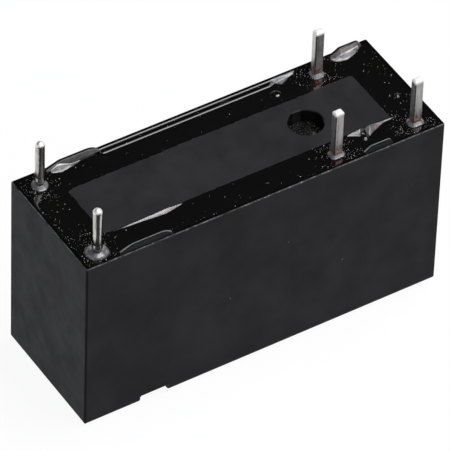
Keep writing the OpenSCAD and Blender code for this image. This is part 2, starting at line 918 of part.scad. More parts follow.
module com_spring() {
    half = blade_width / 2;
    waist = 1.25;
    tip = 1.1;
    color("#c98f4e")
        difference() {
            along_x(blade_x - blade, blade)
                polygon([
                    [-half, base_z - 0.2], [half, base_z - 0.2], [half, blade_hinge_z - 0.6],
                    [waist, blade_hinge_z - 1.6], [waist, contact_z + 2],
                    [1.6, contact_z + 1.4], [1.6, contact_z - 1.2],
                    [tip, contact_z - 1.7], [tip, blade_tip_z],
                    [-tip, blade_tip_z], [-tip, contact_z - 1.7],
                    [-1.6, contact_z - 1.2], [-1.6, contact_z + 1.4],
                    [-waist, contact_z + 2], [-waist, blade_hinge_z - 1.6],
                    [-half, blade_hinge_z - 0.6]
                ]);
            translate([blade_x - over, 0, contact_z])
                rotate([0, 90, 0])
                    cylinder(h = 2 * over, d = rivet_shank_d + 2 * snug_fit);
            for (side = [-1, 1])
                translate([blade_x - over, side * stake_y, stake_z])
                    rotate([0, 90, 0])
                        cylinder(h = 2 * over, d = stake_d + 4 * slide_fit);
        }
}

// Crowned contact head that grows from z = 0 up
module contact_head(d, height) {
    intersection() {
        cylinder(h = height, d = d);
        translate([0, 0, height - crown_r])
            sphere(crown_r, $fn = 96);
    }
}

// Fixed contact riveted through a blade, its head toward +X or -X
module fixed_contact(face_x, toward) {
    tail = 0.15;
    color("#d8d8d4")
        translate([face_x, 0, contact_z])
            rotate([0, toward * 90, 0]) {
                contact_head(fixed_contact_d, fixed_head);
                translate([0, 0, -terminal_sheet - tail])
                    cylinder(h = terminal_sheet + tail + 0.1, d = rivet_shank_d);
                translate([0, 0, -terminal_sheet - tail])
                    cylinder(h = tail, d = rivet_shank_d + 0.4);
            }
}

module nc_contact() {
    fixed_contact(nc_blade_x, 1);
}

module no_contact() {
    fixed_contact(no_blade_x, -1);
}

module moving_contact() {
    color("#d8d8d4")
        translate([blade_x, 0, contact_z])
            rotate([0, 90, 0]) {
                contact_head(moving_contact_d, moving_head);
                translate([0, 0, -blade])
                    mirror([0, 0, 1])
                        contact_head(moving_contact_d, moving_head);
                translate([0, 0, -blade - 0.1])
                    cylinder(h = blade + 0.2, d = rivet_shank_d);
            }
}

cover();
base();
edge_seal();
vent_seal();
bobbin();
winding();
coil_tape();
core();
yoke();
armature();
hinge_spring();
card();
coil_terminal(-1);  // coil_terminal_front
coil_terminal(1);  // coil_terminal_back
coil_lead(-1);  // coil_lead_front
coil_lead(1);  // coil_lead_back
nc_terminal();
nc_contact();
com_terminal();
com_spring();
moving_contact();
no_terminal();
no_contact();
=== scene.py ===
import json
import math
from collections import namedtuple

import bmesh
import bpy
import numpy as np
from bpy.props import FloatProperty, FloatVectorProperty, IntProperty, PointerProperty
from mathutils import Matrix, Vector


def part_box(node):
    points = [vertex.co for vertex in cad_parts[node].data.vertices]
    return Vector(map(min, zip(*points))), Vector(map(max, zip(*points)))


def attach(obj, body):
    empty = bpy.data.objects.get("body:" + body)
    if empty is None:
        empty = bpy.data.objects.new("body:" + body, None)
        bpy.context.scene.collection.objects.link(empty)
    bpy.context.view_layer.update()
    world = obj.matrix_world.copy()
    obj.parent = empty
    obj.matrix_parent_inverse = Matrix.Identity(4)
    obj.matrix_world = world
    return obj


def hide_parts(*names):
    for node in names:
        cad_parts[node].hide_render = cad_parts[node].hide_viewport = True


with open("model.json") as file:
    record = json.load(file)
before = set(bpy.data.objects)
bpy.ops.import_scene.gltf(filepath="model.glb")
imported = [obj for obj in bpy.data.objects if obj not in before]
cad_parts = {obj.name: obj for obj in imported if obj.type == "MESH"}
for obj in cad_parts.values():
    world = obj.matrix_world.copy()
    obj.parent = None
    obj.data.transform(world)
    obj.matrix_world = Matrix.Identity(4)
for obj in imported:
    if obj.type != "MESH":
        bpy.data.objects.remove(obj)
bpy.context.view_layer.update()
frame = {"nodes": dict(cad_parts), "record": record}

bl_info = {
    "name": "Slim sealed relay",
    "version": (1, 0, 0),
    "blender": (4, 5, 0),
    "location": "View3D > Sidebar > Relay",
    "description": "Finishes a slim sealed power relay and sets up the studio it stands in",
    "category": "Object",
}

MM = 0.001

# The rim's height above the island, and the base's gap in the case
RIM_RISE = 0.1 * MM
BASE_GAP = 0.05 * MM
# Places taken from the frame
MOUNTS = {mount["name"]: mount for mount in frame["record"]["mounts"]}
ISLAND_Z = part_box("base")[1].z
RIM_Z = ISLAND_Z + RIM_RISE
STANDOFF_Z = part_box("cover")[1].z
TROUGH_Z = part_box("edge_seal")[0].z
HALF_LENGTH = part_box("cover")[1].x
HALF_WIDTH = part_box("cover")[1].y
CAVITY_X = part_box("base")[1].x + BASE_GAP
CAVITY_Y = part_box("base")[1].y + BASE_GAP
COIL_PINS = [Vector(MOUNTS[name]["pos_m"]) for name in ("coil_pin_front", "coil_pin_back")]
FLAT_PINS = [Vector(MOUNTS[name]["pos_m"]) for name in ("nc_pin", "com_pin", "no_pin")]
COIL_PIN_TOP_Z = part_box("coil_terminal_front")[1].z
FLAT_PIN_TOP_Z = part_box("nc_terminal")[1].z
VENT = (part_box("vent_seal")[0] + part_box("vent_seal")[1]) / 2
# Half sizes of a flat pin, and the radius of the vent's recess
FLAT_PIN_HALF_X = 0.35 * MM
FLAT_PIN_HALF_Y = 0.275 * MM
VENT_RADIUS = 1.25 * MM
# Lead-in inside the rim, in millimetres
LEAD_IN_RISE = 0.6
LEAD_IN_RUN = 0.37
LEAD_IN_Z = RIM_Z - LEAD_IN_RISE * MM
FLARE = LEAD_IN_RUN / LEAD_IN_RISE
# How far outside the cavity the resin wets the rim, and where the painted highlight on the outer
# edge starts
WET_WIDTH = 0.5 * MM
EDGE_LIGHT_WIDTH = 0.62 * MM

# Camera fitted to the photograph
CAMERA_PLACE = Vector((-162.82, -247.32, 293.46)) * MM
CAMERA_RIGHT = Vector((0.8491, -0.5275, 0.0269))
CAMERA_DOWN = Vector((-0.3499, -0.6000, -0.7195))
CAMERA_FORWARD = Vector((0.3957, 0.6015, -0.6940))
CAMERA_LENS = 480
CAMERA_SENSOR = 36

# Studio
FLOOR_HALF = 3.0
SOFTBOX_AIM = Vector((0, 0, 8 * MM))
SOFTBOX_DISTANCE = 420 * MM
# Direction of each softbox from the relay, and the side of its square
OVERHEAD = (0.32, -0.05, 0.946), 0.22
FRONT = (0.396, -0.62, 0.66), 0.30
COIL_END = (-0.93, -0.10, 0.35), 0.20
# Directions of what the relay mirrors: the room's dark side and the window
DARK_SIDE = (-0.265, -0.964, 0)
WINDOW = (-0.396, -0.60, 0.694)
WHITE = (1, 1, 1)
COOL_WHITE = (0.66, 0.73, 1.0)
FLOOR_COLOUR = (0.92, 0.92, 0.92)

# Colours of specks, dust, and painted highlights, sheen and reflections on the case and resin
SPECK_COLOUR = (0.30, 0.30, 0.31)
EDGE_LIGHT_COLOUR = (0.20, 0.20, 0.20)
STANDOFF_REFLECTION_COLOURS = (0.095, 0.090, 0.096), (0.165, 0.155, 0.152)
FLUFF_COLOUR = (0.14, 0.135, 0.12)
SHEEN_GREY_COLOURS = (0.075, 0.074, 0.078), (0.15, 0.135, 0.12)
SHEEN_BLUE_COLOURS = (0.12, 0.12, 0.135), (0.27, 0.275, 0.295)
RIDGE_HIGHLIGHT_COLOUR = (0.85, 0.82, 0.76)
PINK_HIGHLIGHT_COLOUR = (0.34, 0.22, 0.215)
DUST_COLOURS = (0.48, 0.47, 0.46), (0.92, 0.92, 0.93)
# Colours on the tinned pins, with painted shade at their corners and a painted highlight at their
# tips
STREAK_COLOUR = (0.25, 0.25, 0.24)
PIN_CORNER_SHADE_COLOUR = (0.03, 0.03, 0.03)
TIP_HIGHLIGHT_COLOUR = (0.92, 0.92, 0.90)
# Colours of the pieces inside the case
TAPE_COLOUR = (0.72, 0.46, 0.07)
BOBBIN_COLOUR = (0.66, 0.63, 0.54)
CARD_COLOUR = (0.78, 0.74, 0.64)
IRON_COLOUR = (0.52, 0.53, 0.55)
BRONZE_COLOUR = (0.60, 0.36, 0.17)
SILVER_COLOUR = (0.80, 0.79, 0.76)

# Numbers of the sockets that share a name: a Mix node's colours, a Random Value node's numbers
MIX_FIRST, MIX_SECOND, MIX_RESULT = 6, 7, 2
RANDOM_LOW, RANDOM_HIGH, RANDOM_RESULT = 2, 3, 1


class RelayCase(bpy.types.PropertyGroup):
    """Finish of the moulded case and base"""

    case_colour: FloatVectorProperty(
        name="Case colour", description="Colour of the moulded cover",
        subtype="COLOR", size=3, min=0, max=1, default=(0.0196, 0.0197, 0.0210))
    island_colour: FloatVectorProperty(
        name="Base colour", description="Colour of the moulded base",
        subtype="COLOR", size=3, min=0, max=1, default=(0.0166, 0.0162, 0.0182))
    edge_radius: FloatProperty(
        name="Edge radius", description="Rounding of the moulded edges",
        unit="LENGTH", min=0.005 * MM, max=0.03 * MM, default=0.028 * MM)
    grain_depth: FloatProperty(
        name="Grain depth", description="Depth of the fine grain of the mould",
        unit="LENGTH", min=0, max=0.02 * MM, default=0.004 * MM)


class RelayResin(bpy.types.PropertyGroup):
    """Shape and finish of the sealing resin"""

    colour: FloatVectorProperty(
        name="Resin colour", description="Colour of the cast resin",
        subtype="COLOR", size=3, min=0, max=1, default=(0.0028, 0.0026, 0.0025))
    sag: FloatProperty(
        name="Sag", description="Depth of the resin's dip between the island and the walls",
        unit="LENGTH", min=0, max=0.2 * MM, default=0.035 * MM)
    back_drop: FloatProperty(
        name="Back drop", description="Depth below the island of the resin along the back wall",
        unit="LENGTH", min=0, max=0.3 * MM, default=0.195 * MM)
    lens_climb: FloatProperty(
        name="Lens climb", description="Height that the resin climbs on the back standoffs",
        unit="LENGTH", min=0, max=0.65 * MM, default=0.5 * MM)
    collar_climb: FloatProperty(
        name="Collar climb", description="Height of the collar of resin at a pin",
        unit="LENGTH", min=0.05 * MM, max=0.4 * MM, default=0.22 * MM)
    waviness: FloatProperty(
        name="Waviness", description="Height of the long waves in the resin",
        unit="LENGTH", min=0, max=0.05 * MM, default=0.005 * MM)
    cell: FloatProperty(
        name="Cell", description="Size of one cell of the resin's surface",
        unit="LENGTH", min=0.04 * MM, max=0.3 * MM, default=0.07 * MM)


class RelayPins(bpy.types.PropertyGroup):
    """Finish of the tinned pins"""

    tin_colour: FloatVectorProperty(
        name="Tin colour", description="Colour of the hot-dipped tin",
        subtype="COLOR", size=3, min=0, max=1, default=(0.62, 0.61, 0.58))
    copper_colour: FloatVectorProperty(
        name="Tarnished copper", description="Colour of the bare copper above the resin",
        subtype="COLOR", size=3, min=0, max=1, default=(0.78, 0.25, 0.12))
    sheet_colour: FloatVectorProperty(
        name="Clean copper", description="Colour of the copper alloy inside the case",
        subtype="COLOR", size=3, min=0, max=1, default=(0.66, 0.36, 0.22))
    bare_length: FloatProperty(
        name="Bare length", description="Height above the island where the tin starts",
        unit="LENGTH", min=0, max=1 * MM, default=0.32 * MM)
    edge_radius: FloatProperty(
        name="Edge radius", description="Rounding that the tin gives a flat pin's edges",
        unit="LENGTH", min=0.005 * MM, max=0.06 * MM, default=0.045 * MM)


class RelayDust(bpy.types.PropertyGroup):
    """Dust on the resin"""

    speck_size: FloatProperty(
        name="Speck size", description="Radius of a large speck",
        unit="LENGTH", min=0.01 * MM, max=0.1 * MM, default=0.031 * MM)
    gap: FloatProperty(
        name="Gap", description="Least distance between two specks",
        unit="LENGTH", min=0, max=0.5 * MM, default=0.11 * MM)
    density: FloatProperty(
        name="Density", description="Specks per square millimetre where the dust is thickest",
        min=0, max=100, default=60)
    seed: IntProperty(
        name="Seed", description="Seed of the dust's pattern",
        min=0, max=1000, default=7)


class RelayCoil(bpy.types.PropertyGroup):
    """Turns of the winding"""

    wire_diameter: FloatProperty(
        name="Wire diameter", description="Diameter of the enamelled wire",
        unit="LENGTH", min=0.05 * MM, max=0.2 * MM, default=0.1 * MM)
    wire_colour: FloatVectorProperty(
        name="Wire colour", description="Colour of the enamelled wire",
        subtype="COLOR", size=3, min=0, max=1, default=(0.50, 0.15, 0.045))


class RelayStudio(bpy.types.PropertyGroup):
    """Lights and background"""

    key_strength: FloatProperty(
        name="Key strength", description="Brightness of the overhead softbox",
        min=0, max=30, default=8.8)
    front_strength: FloatProperty(
        name="Front strength", description="Brightness of the broad softbox in front",
        min=0, max=30, default=2.4)
    end_strength: FloatProperty(
        name="End strength", description="Brightness of the cool softbox at the coil end",
        min=0, max=30, default=4.4)
    world_level: FloatProperty(
        name="World level", description="Brightness of the room's even light",
        min=0, max=2, default=0.16)
    window_level: FloatProperty(
        name="Window level", description="Brightness of the mirrored window above the camera",
        min=0, max=5, default=0.8)
    whiteness: FloatProperty(
        name="Floor whiteness", description="Share of the floor that shows plain white",
        min=0, max=1, default=0.93)


class RelaySettings(bpy.types.PropertyGroup):
    """Everything that can be set on the relay"""

    case: PointerProperty(type=RelayCase, name="Case", description="Case and base")
    resin: PointerProperty(type=RelayResin, name="Resin", description="Sealing resin")
    pins: PointerProperty(type=RelayPins, name="Pins", description="Tinned pins")
    dust: PointerProperty(type=RelayDust, name="Dust", description="Dust")
    coil: PointerProperty(type=RelayCoil, name="Coil", description="Winding")
    studio: PointerProperty(type=RelayStudio, name="Studio", description="Lights and background")


class Link:
    """A node's output that takes part in arithmetic."""

    def __init__(self, graph, socket):
        self.graph = graph
        self.socket = socket

    def maths(self, operation, first, second=None):
        """Adds a Math node on one or two values."""
        values = {0: first} if second is None else {0: first, 1: second}
        return self.graph.node("ShaderNodeMath", {"operation": operation}, values)

    def __add__(self, other):
        return self.maths("ADD", self, other)

    def __radd__(self, other):
        return self.maths("ADD", other, self)

    def __sub__(self, other):
        return self.maths("SUBTRACT", self, other)

    def __rsub__(self, other):
        return self.maths("SUBTRACT", other, self)

    def __mul__(self, other):
        return self.maths("MULTIPLY", self, other)

    def __rmul__(self, other):
        return self.maths("MULTIPLY", other, self)

    def __abs__(self):
        return self.maths("ABSOLUTE", self)

    def above(self, level):
        """1 where the value is above the level, else 0."""
        return self.maths("GREATER_THAN", self, level)

    def most(self, other):
        """The larger of the two."""
        return self.maths("MAXIMUM", self, other)

    def least(self, other):
        """The smaller of the two."""
        return self.maths("MINIMUM", self, other)

    def ramp(self, low, high, start=0.0, end=1.0):
        """Goes smoothly from start to end as the value goes from low to high."""
        return self.graph.node(
            "ShaderNodeMapRange", {"interpolation_type": "SMOOTHSTEP"},
            {"Value": self, "From Min": low, "From Max": high, "To Min": start, "To Max": end})


class Graph:
    """Adds nodes to a shader or geometry tree."""

    def __init__(self, tree):
        self.tree = tree

    def node(self, kind, settings=None, inputs=None, output=0):
        """Adds a node, sets it up, feeds its sockets; returns an output, or for None the node."""
        made = self.tree.nodes.new(kind)
        for name, value in (settings or {}).items():
            setattr(made, name, value)
        for name, value in (inputs or {}).items():
            self.feed(made.inputs[name], value)
        return made if output is None else Link(self, made.outputs[output])

    def feed(self, socket, value):
        """Links a value to a socket, or sets the socket to it."""
        if isinstance(value, Link):
            self.tree.links.new(value.socket, socket)
        else:
            socket.default_value = value

    def mix(self, share, first, second):
        """Mixes two colours, given as three numbers or as a link."""
        return self.node(
            "ShaderNodeMix", {"data_type": "RGBA"},
            {"Factor": share, MIX_FIRST: rgba(first), MIX_SECOND: rgba(second)},
            output=MIX_RESULT)

    def place(self, scale=(1, 1, 1)):
        """Object coordinates, scaled."""
        spot = self.node("ShaderNodeTexCoord", output="Object")
        if scale == (1, 1, 1):
            return spot
        return self.node("ShaderNodeMapping", {}, {"Vector": spot, "Scale": scale})

    def axis(self, letter, vector=None):
        """One coordinate of a vector, or else of the place on the object."""
        return self.node(
            "ShaderNodeSeparateXYZ", {}, {"Vector": vector or self.place()}, output=letter)

    def noise(self, scale, detail=2.0, roughness=0.5, vector=None):
        """Noise from 0 to 1; scale is the number of features per millimetre."""
        return self.node(
            "ShaderNodeTexNoise", {"noise_dimensions": "3D"},
            {"Vector": vector or self.place(), "Scale": scale / MM, "Detail": detail,
             "Roughness": roughness})

    def dots(self, per_mm, size, share):
        """Mask of round specks: size is a radius in cells, and share the part of cells with one."""
        cells = {"Vector": self.place(), "Scale": per_mm / MM}
        distance = self.node("ShaderNodeTexVoronoi", {"feature": "F1"}, cells, output="Distance")
        tint = self.node("ShaderNodeTexVoronoi", {"feature": "F1"}, cells, output="Color")
        chosen = self.axis("X", tint).above(1 - share)
        return distance.ramp(size, 0.6 * size) * chosen

    def towards(self, vector, direction):
        """How far a vector points in a direction, from -1 to 1."""
        return self.node(
            "ShaderNodeVectorMath", {"operation": "DOT_PRODUCT"}, {0: vector, 1: direction},
            output="Value")

    def bump(self, height, depth, strength=1.0):
        """Normal of a surface whose relief is height, from 0 to 1, times depth."""
        return self.node(
            "ShaderNodeBump", {}, {"Height": height, "Distance": depth, "Strength": strength})


def rgba(colour):
    """A colour as a socket takes it."""
    return colour if isinstance(colour, Link) else (*colour, 1.0)


def shaded(colour, factor):
    """The colour, darker or lighter by a factor."""
    return tuple(factor * part for part in colour)


def bare_graph(owner):
    """Gives a material or a world an empty tree to add nodes to."""
    owner.use_nodes = True
    owner.node_tree.nodes.clear()
    return Graph(owner.node_tree)


def new_finish(name, shader, **sockets):
    """A Principled material: constants go straight to sockets, shader(graph) gives the links."""
    material = bpy.data.materials.new(name)
    material.use_nodes = True
    graph = Graph(material.node_tree)
    principled = material.node_tree.nodes["Principled BSDF"]
    values = {key.replace("_", " "): value for key, value in sockets.items()}
    values.update(shader(graph))
    for key, value in values.items():
        graph.feed(principled.inputs[key], value)
    return material


def rim_place(graph):
    """Height, and distance outside the case's cavity."""
    across = (abs(graph.axis("X")) - CAVITY_X).most(abs(graph.axis("Y")) - CAVITY_Y)
    return graph.axis("Z"), across


def wet_rim(graph):
    """Where resin wets the cover: the rim's top and the lead-in inside it."""
    height, across = rim_place(graph)
    top = height.ramp(RIM_Z - 0.05 * MM, RIM_Z - 0.02 * MM)
    inside = height.above(LEAD_IN_Z) * across.ramp(WET_WIDTH, WET_WIDTH - 0.04 * MM)
    standoff_side = height.above(RIM_Z + 0.02 * MM) * across.above(WET_WIDTH)
    return top.most(inside) * (1 - standoff_side)


def standoff_reflection(graph):
    """Painted reflection, a brownish-grey sheen, on the dull inner faces of the back standoffs."""
    height = graph.axis("Z").ramp(RIM_Z + 0.005 * MM, RIM_Z + 0.03 * MM)
    across = graph.axis("Y") - CAVITY_Y
    return height * across.above(0) * across.ramp(0.40 * MM, 0.36 * MM)


def edge_light_and_wear(graph):
    """Painted highlight in worn patches: a band along the rim's outer edge, a line on the front
    standoffs.
    """
    height, across = rim_place(graph)
    patches = graph.noise(1.6, detail=5, roughness=0.7)
    nicks = graph.noise(5, detail=3, roughness=0.7).ramp(0.5, 0.62)
    band = abs(height - (RIM_Z - 0.03 * MM)).ramp(0.045 * MM, 0.02 * MM)
    band = band * across.above(EDGE_LIGHT_WIDTH) * patches.ramp(0.35, 0.6) * (0.35 + 0.65 * nicks)
    crown = abs(across - 0.34 * MM).ramp(0.08 * MM, 0.05 * MM)
    crown = crown * height.ramp(RIM_Z + 0.03 * MM, RIM_Z + 0.06 * MM)
    crown = crown * (0 - graph.axis("Y")).above(0) * patches.ramp(0.3, 0.5) * 0.8
    return band.most(crown)


def upright_corner_shade(graph):
    """The rounded upright corners, painted darker as shade."""
    inside = HALF_LENGTH - abs(graph.axis("X"))
    beside = HALF_WIDTH - abs(graph.axis("Y"))
    below = graph.axis("Z").ramp(RIM_Z, RIM_Z - 0.2 * MM)
    return inside.most(beside).ramp(0.17 * MM, 0.11 * MM) * below


def vent_shade(graph):
    """Inside of the vent's recess, painted black as shade in the resin's colour and gloss."""
    x = graph.axis("X") - VENT.x
    y = graph.axis("Y") - VENT.y
    inside = (x * x + y * y).ramp(
        (VENT_RADIUS + 0.11 * MM) ** 2, (VENT_RADIUS + 0.01 * MM) ** 2)
    return inside * graph.axis("Z").ramp(ISLAND_Z - 0.02 * MM, ISLAND_Z - 0.06 * MM)


def pin_corner_shade(graph):
    """The flat pins' upright corners, painted dark as shade."""
    x, first, *others = graph.axis("X"), *FLAT_PINS
    beside = abs(x - first.x)
    for pin in others:
        beside = beside.least(abs(x - pin.x))
    ahead = abs(abs(graph.axis("Y")) - abs(first.y))
    near_x = beside.ramp(FLAT_PIN_HALF_X - 0.085 * MM, FLAT_PIN_HALF_X - 0.055 * MM)
    near_y = ahead.ramp(FLAT_PIN_HALF_Y - 0.075 * MM, FLAT_PIN_HALF_Y - 0.045 * MM)
    return near_x * near_y * graph.noise(3, detail=3).ramp(0.25, 0.5)


def no_mask(graph):
    """No part of the surface."""
    return 0.0


def moulded_plastic(
        name, colour, relay, grain_per_mm, roughness, level, wet_and_shade_mask, painted_edge_light=no_mask, reflection=no_mask):
    """Satin moulded plastic: soft mottling, fine grain, specks, resin where it is wet, painted
    shade on the upright corners and in the vent's recess, a painted highlight in worn patches, and
    a painted reflection on the back standoffs.
    """
    resin_colour = relay.resin.colour

    def shader(graph):
        mottle = graph.noise(0.3, detail=4).ramp(0.3, 0.7)
        tone = graph.mix(mottle, shaded(colour, 0.82), shaded(colour, 1.2))
        pale_tone_and_sheen = graph.noise(2.2, detail=4, roughness=0.65).ramp(0.55, 0.95)
        tone = graph.mix(pale_tone_and_sheen * 0.5, tone, shaded(colour, 1.6))
        specks = graph.dots(1.1, 0.05, 0.045)
        tone = graph.mix(specks * 0.7, tone, SPECK_COLOUR)
        # Painted shade on the rounded upright corners
        tone = graph.mix(upright_corner_shade(graph) * 0.7, tone, resin_colour)
        # Resin where the cover is wet; in the vent's recess, painted shade in the resin's colour
        wet_and_shaded = wet_and_shade_mask(graph)
        tone = graph.mix(wet_and_shaded, tone, resin_colour)
        # Painted highlight on the rim's outer edge and the front standoffs, in worn patches
        tone = graph.mix(painted_edge_light(graph), tone, EDGE_LIGHT_COLOUR)
        blotch = graph.noise(2.5, detail=4, roughness=0.65).ramp(0.3, 0.7)
        # Painted reflection on the back standoffs' inner faces
        reflection_share = reflection(graph)
        tone = graph.mix(reflection_share, tone, graph.mix(blotch, *STANDOFF_REFLECTION_COLOURS))
        grain = graph.noise(grain_per_mm, detail=3, roughness=0.6)
        gloss = graph.noise(0.8, detail=3).ramp(0.25, 0.75, roughness - 0.05, roughness + 0.07)
        return {
            "Base Color": tone,
            "Roughness": (gloss + specks * 0.2) * (1 - wet_and_shaded) + wet_and_shaded * (0.16 + reflection_share * 0.3),
            "Normal": graph.bump(grain * (1 - wet_and_shaded), relay.case.grain_depth),
        }

    return new_finish(name, shader, Specular_IOR_Level=level)


def cast_resin(name, colour, dust_share):
    """Glossy cast resin with painted reflections: grey, bluish and near-white sheen and highlight,
    rougher, where one weight is high, and a pinkish highlight where another is.
    """

    def shader(graph):
        skin = graph.noise(1.3, detail=5, roughness=0.7).ramp(0.5, 0.85)
        tone = graph.mix(skin * 0.4, colour, shaded(colour, 2.2))
        fluff = graph.noise(9, detail=5, roughness=0.8).ramp(0.52, 0.72) * dust_share
        tone = graph.mix(fluff, tone, FLUFF_COLOUR)
        # Painted reflections: grey, bluish and near-white sheen where this weight is high
        pale_tone_and_sheen = graph.node("ShaderNodeAttribute", {"attribute_name": "pale_tone_and_sheen"}, output="Fac")
        cloud = graph.noise(3.2, detail=5, roughness=0.68).ramp(0.30, 0.70)
        painted_sheen = pale_tone_and_sheen.ramp(0.0, 0.6) * (0.6 + 0.4 * cloud)
        tint = graph.noise(1.7, detail=2).ramp(0.35, 0.65)
        sheen_colour = graph.mix(tint, *SHEEN_GREY_COLOURS)
        sheen_colour = graph.mix(pale_tone_and_sheen.ramp(0.6, 1.0), sheen_colour, graph.mix(cloud, *SHEEN_BLUE_COLOURS))
        # Painted highlight along the lenses' ridges
        sheen_colour = graph.mix(pale_tone_and_sheen.ramp(1.05, 1.3), sheen_colour, RIDGE_HIGHLIGHT_COLOUR)
        # Painted pinkish highlight
        pink_highlight = graph.node("ShaderNodeAttribute", {"attribute_name": "pink_highlight"}, output="Fac")
        pink_highlight = pink_highlight * graph.noise(4, detail=3).ramp(0.4, 0.55)
        sheen_colour = graph.mix(pink_highlight, sheen_colour, PINK_HIGHLIGHT_COLOUR)
        ripple = graph.noise(3.0, detail=3) + fluff + painted_sheen * graph.noise(9, detail=3) * 3
        return {
            "Base Color": graph.mix(painted_sheen, tone, sheen_colour),
            "Roughness": skin.ramp(0, 1, 0.05, 0.13) + painted_sheen * 0.2 + fluff * 0.5,
            "Normal": graph.bump(ripple, 0.002 * MM),
        }

    return new_finish(name, shader, IOR=1.58)


def tinned_copper(name, pins, tip_z, gloss, metallic, corner, fleck_reach, tarnish):
    """Hot-dipped tin on a copper pin: flecked with copper at its foot, dull at its tip with a
    painted highlight there, and painted shade at the corners that it is given.
    """
    tin = tuple(pins.tin_colour)
    copper = shaded(pins.copper_colour, tarnish)
    sheet = tuple(pins.sheet_colour)
    bare_top = ISLAND_Z + pins.bare_length

    def shader(graph):
        height = graph.axis("Z") + (graph.noise(3.5, detail=2) - 0.5) * (0.25 * MM)
        tinned = height.ramp(bare_top - 0.04 * MM, bare_top + 0.04 * MM)
        fleck = graph.noise(5, detail=3, roughness=0.7).ramp(0.49, 0.55)
        low = height.ramp(bare_top + fleck_reach, bare_top + 0.4 * fleck_reach)
        tinned = tinned * (1 - fleck * low)
        tip = graph.axis("Z").ramp(tip_z - 0.32 * MM, tip_z - 0.2 * MM)
        streak = graph.noise(6, detail=4, vector=graph.place((1, 1, 0.12)))
        cloud = graph.noise(2.2, detail=3).ramp(0.3, 0.8)
        bright = graph.mix(cloud, shaded(tin, 0.8), tin)
        bright = graph.mix(streak.ramp(0.48, 0.66) * 0.6, bright, STREAK_COLOUR)
        # Painted shade at the flat pins' corners
        bright = graph.mix(corner(graph) * 0.9, bright, PIN_CORNER_SHADE_COLOUR)
        # Painted highlight at the tip, where the tin is also duller
        bright = graph.mix(tip, bright, TIP_HIGHLIGHT_COLOUR)
        dull = graph.mix(graph.noise(5, detail=4), copper, shaded(copper, 0.25))
        rolled = graph.noise(1.1, detail=4).ramp(0.3, 0.7)
        clean = graph.mix(rolled, shaded(sheet, 0.75), sheet)
        below = graph.axis("Z").ramp(ISLAND_Z - 0.3 * MM, ISLAND_Z - 0.8 * MM)
        dull = graph.mix(below, dull, clean)
        return {
            "Base Color": graph.mix(tinned, dull, bright),
            "Roughness": tinned.ramp(0, 1, 0.4, gloss) + cloud * 0.1 + tip * 0.32,
            "Normal": graph.bump(streak + cloud * 0.6, 0.02 * MM, 0.5),
        }

    return new_finish(name, shader, Metallic=metallic)


def rolled_metal(name, colour, roughness, streak_scale, depth=0.004 * MM):
    """Sheet or bar with fine rolling marks and slight clouding."""

    def shader(graph):
        marks = graph.noise(9, detail=5, vector=graph.place(streak_scale))
        cloud = graph.noise(0.9, detail=4).ramp(0.3, 0.7)
        return {
            "Base Color": graph.mix(cloud, shaded(colour, 0.72), colour),
            "Roughness": marks.ramp(0.2, 0.8, roughness - 0.08, roughness + 0.1),
            "Normal": graph.bump(marks, depth),
        }

    return new_finish(name, shader, Metallic=1.0)


def pale_moulding(name, colour, grain_per_mm):
    """Natural moulded plastic with flow marks and a fine grain."""

    def shader(graph):
        flow = graph.noise(0.6, detail=4, vector=graph.place((0.3, 1, 1))).ramp(0.25, 0.75)
        grain = graph.noise(grain_per_mm, detail=3)
        return {
            "Base Color": graph.mix(flow, shaded(colour, 0.9), colour),
            "Roughness": grain.ramp(0.2, 0.8, 0.42, 0.55),
            "Normal": graph.bump(grain, 0.003 * MM),
        }

    return new_finish(name, shader)


def enamelled_wire(colour):
    """Copper wire seen through clear enamel."""

    def shader(graph):
        tint = graph.noise(4, detail=2).ramp(0.3, 0.7)
        return {
            "Base Color": graph.mix(tint, shaded(colour, 0.75), colour),
            "Roughness": tint.ramp(0, 1, 0.28, 0.38),
        }

    return new_finish("enamelled wire", shader, Metallic=0.85, Coat_Weight=0.6, Coat_Roughness=0.08)


def film_tape(colour):
    """Yellow polyester film with faint wrinkles."""

    def shader(graph):
        wrinkle = graph.noise(0.9, detail=3, vector=graph.place((3, 1, 1)))
        return {
            "Base Color": graph.mix(wrinkle, shaded(colour, 0.8), colour),
            "Roughness": wrinkle.ramp(0.2, 0.8, 0.18, 0.3),
            "Normal": graph.bump(wrinkle, 0.02 * MM, 0.6),
        }

    return new_finish("film tape", shader, Coat_Weight=0.3)


def pale_dust():
    """Matt grey and white specks."""

    def shader(graph):
        shade = graph.noise(4, detail=2).ramp(0.3, 0.7)
        return {
            "Base Color": graph.mix(shade, *DUST_COLOURS),
            "Roughness": shade.ramp(0, 1, 0.6, 0.9),
        }

    return new_finish("dust", shader)


def link_object(name, data, material=None):
    """Puts a mesh, a camera or a light into the scene as an object."""
    piece = bpy.data.objects.new(name, data)
    bpy.context.scene.collection.objects.link(piece)
    if material:
        data.materials.clear()
        data.materials.append(material)
    return piece


def dress(material, *nodes):
    """Gives CAD nodes a finish."""
    for node in nodes:
        materials = frame["nodes"][node].data.materials
        materials.clear()
        materials.append(material)


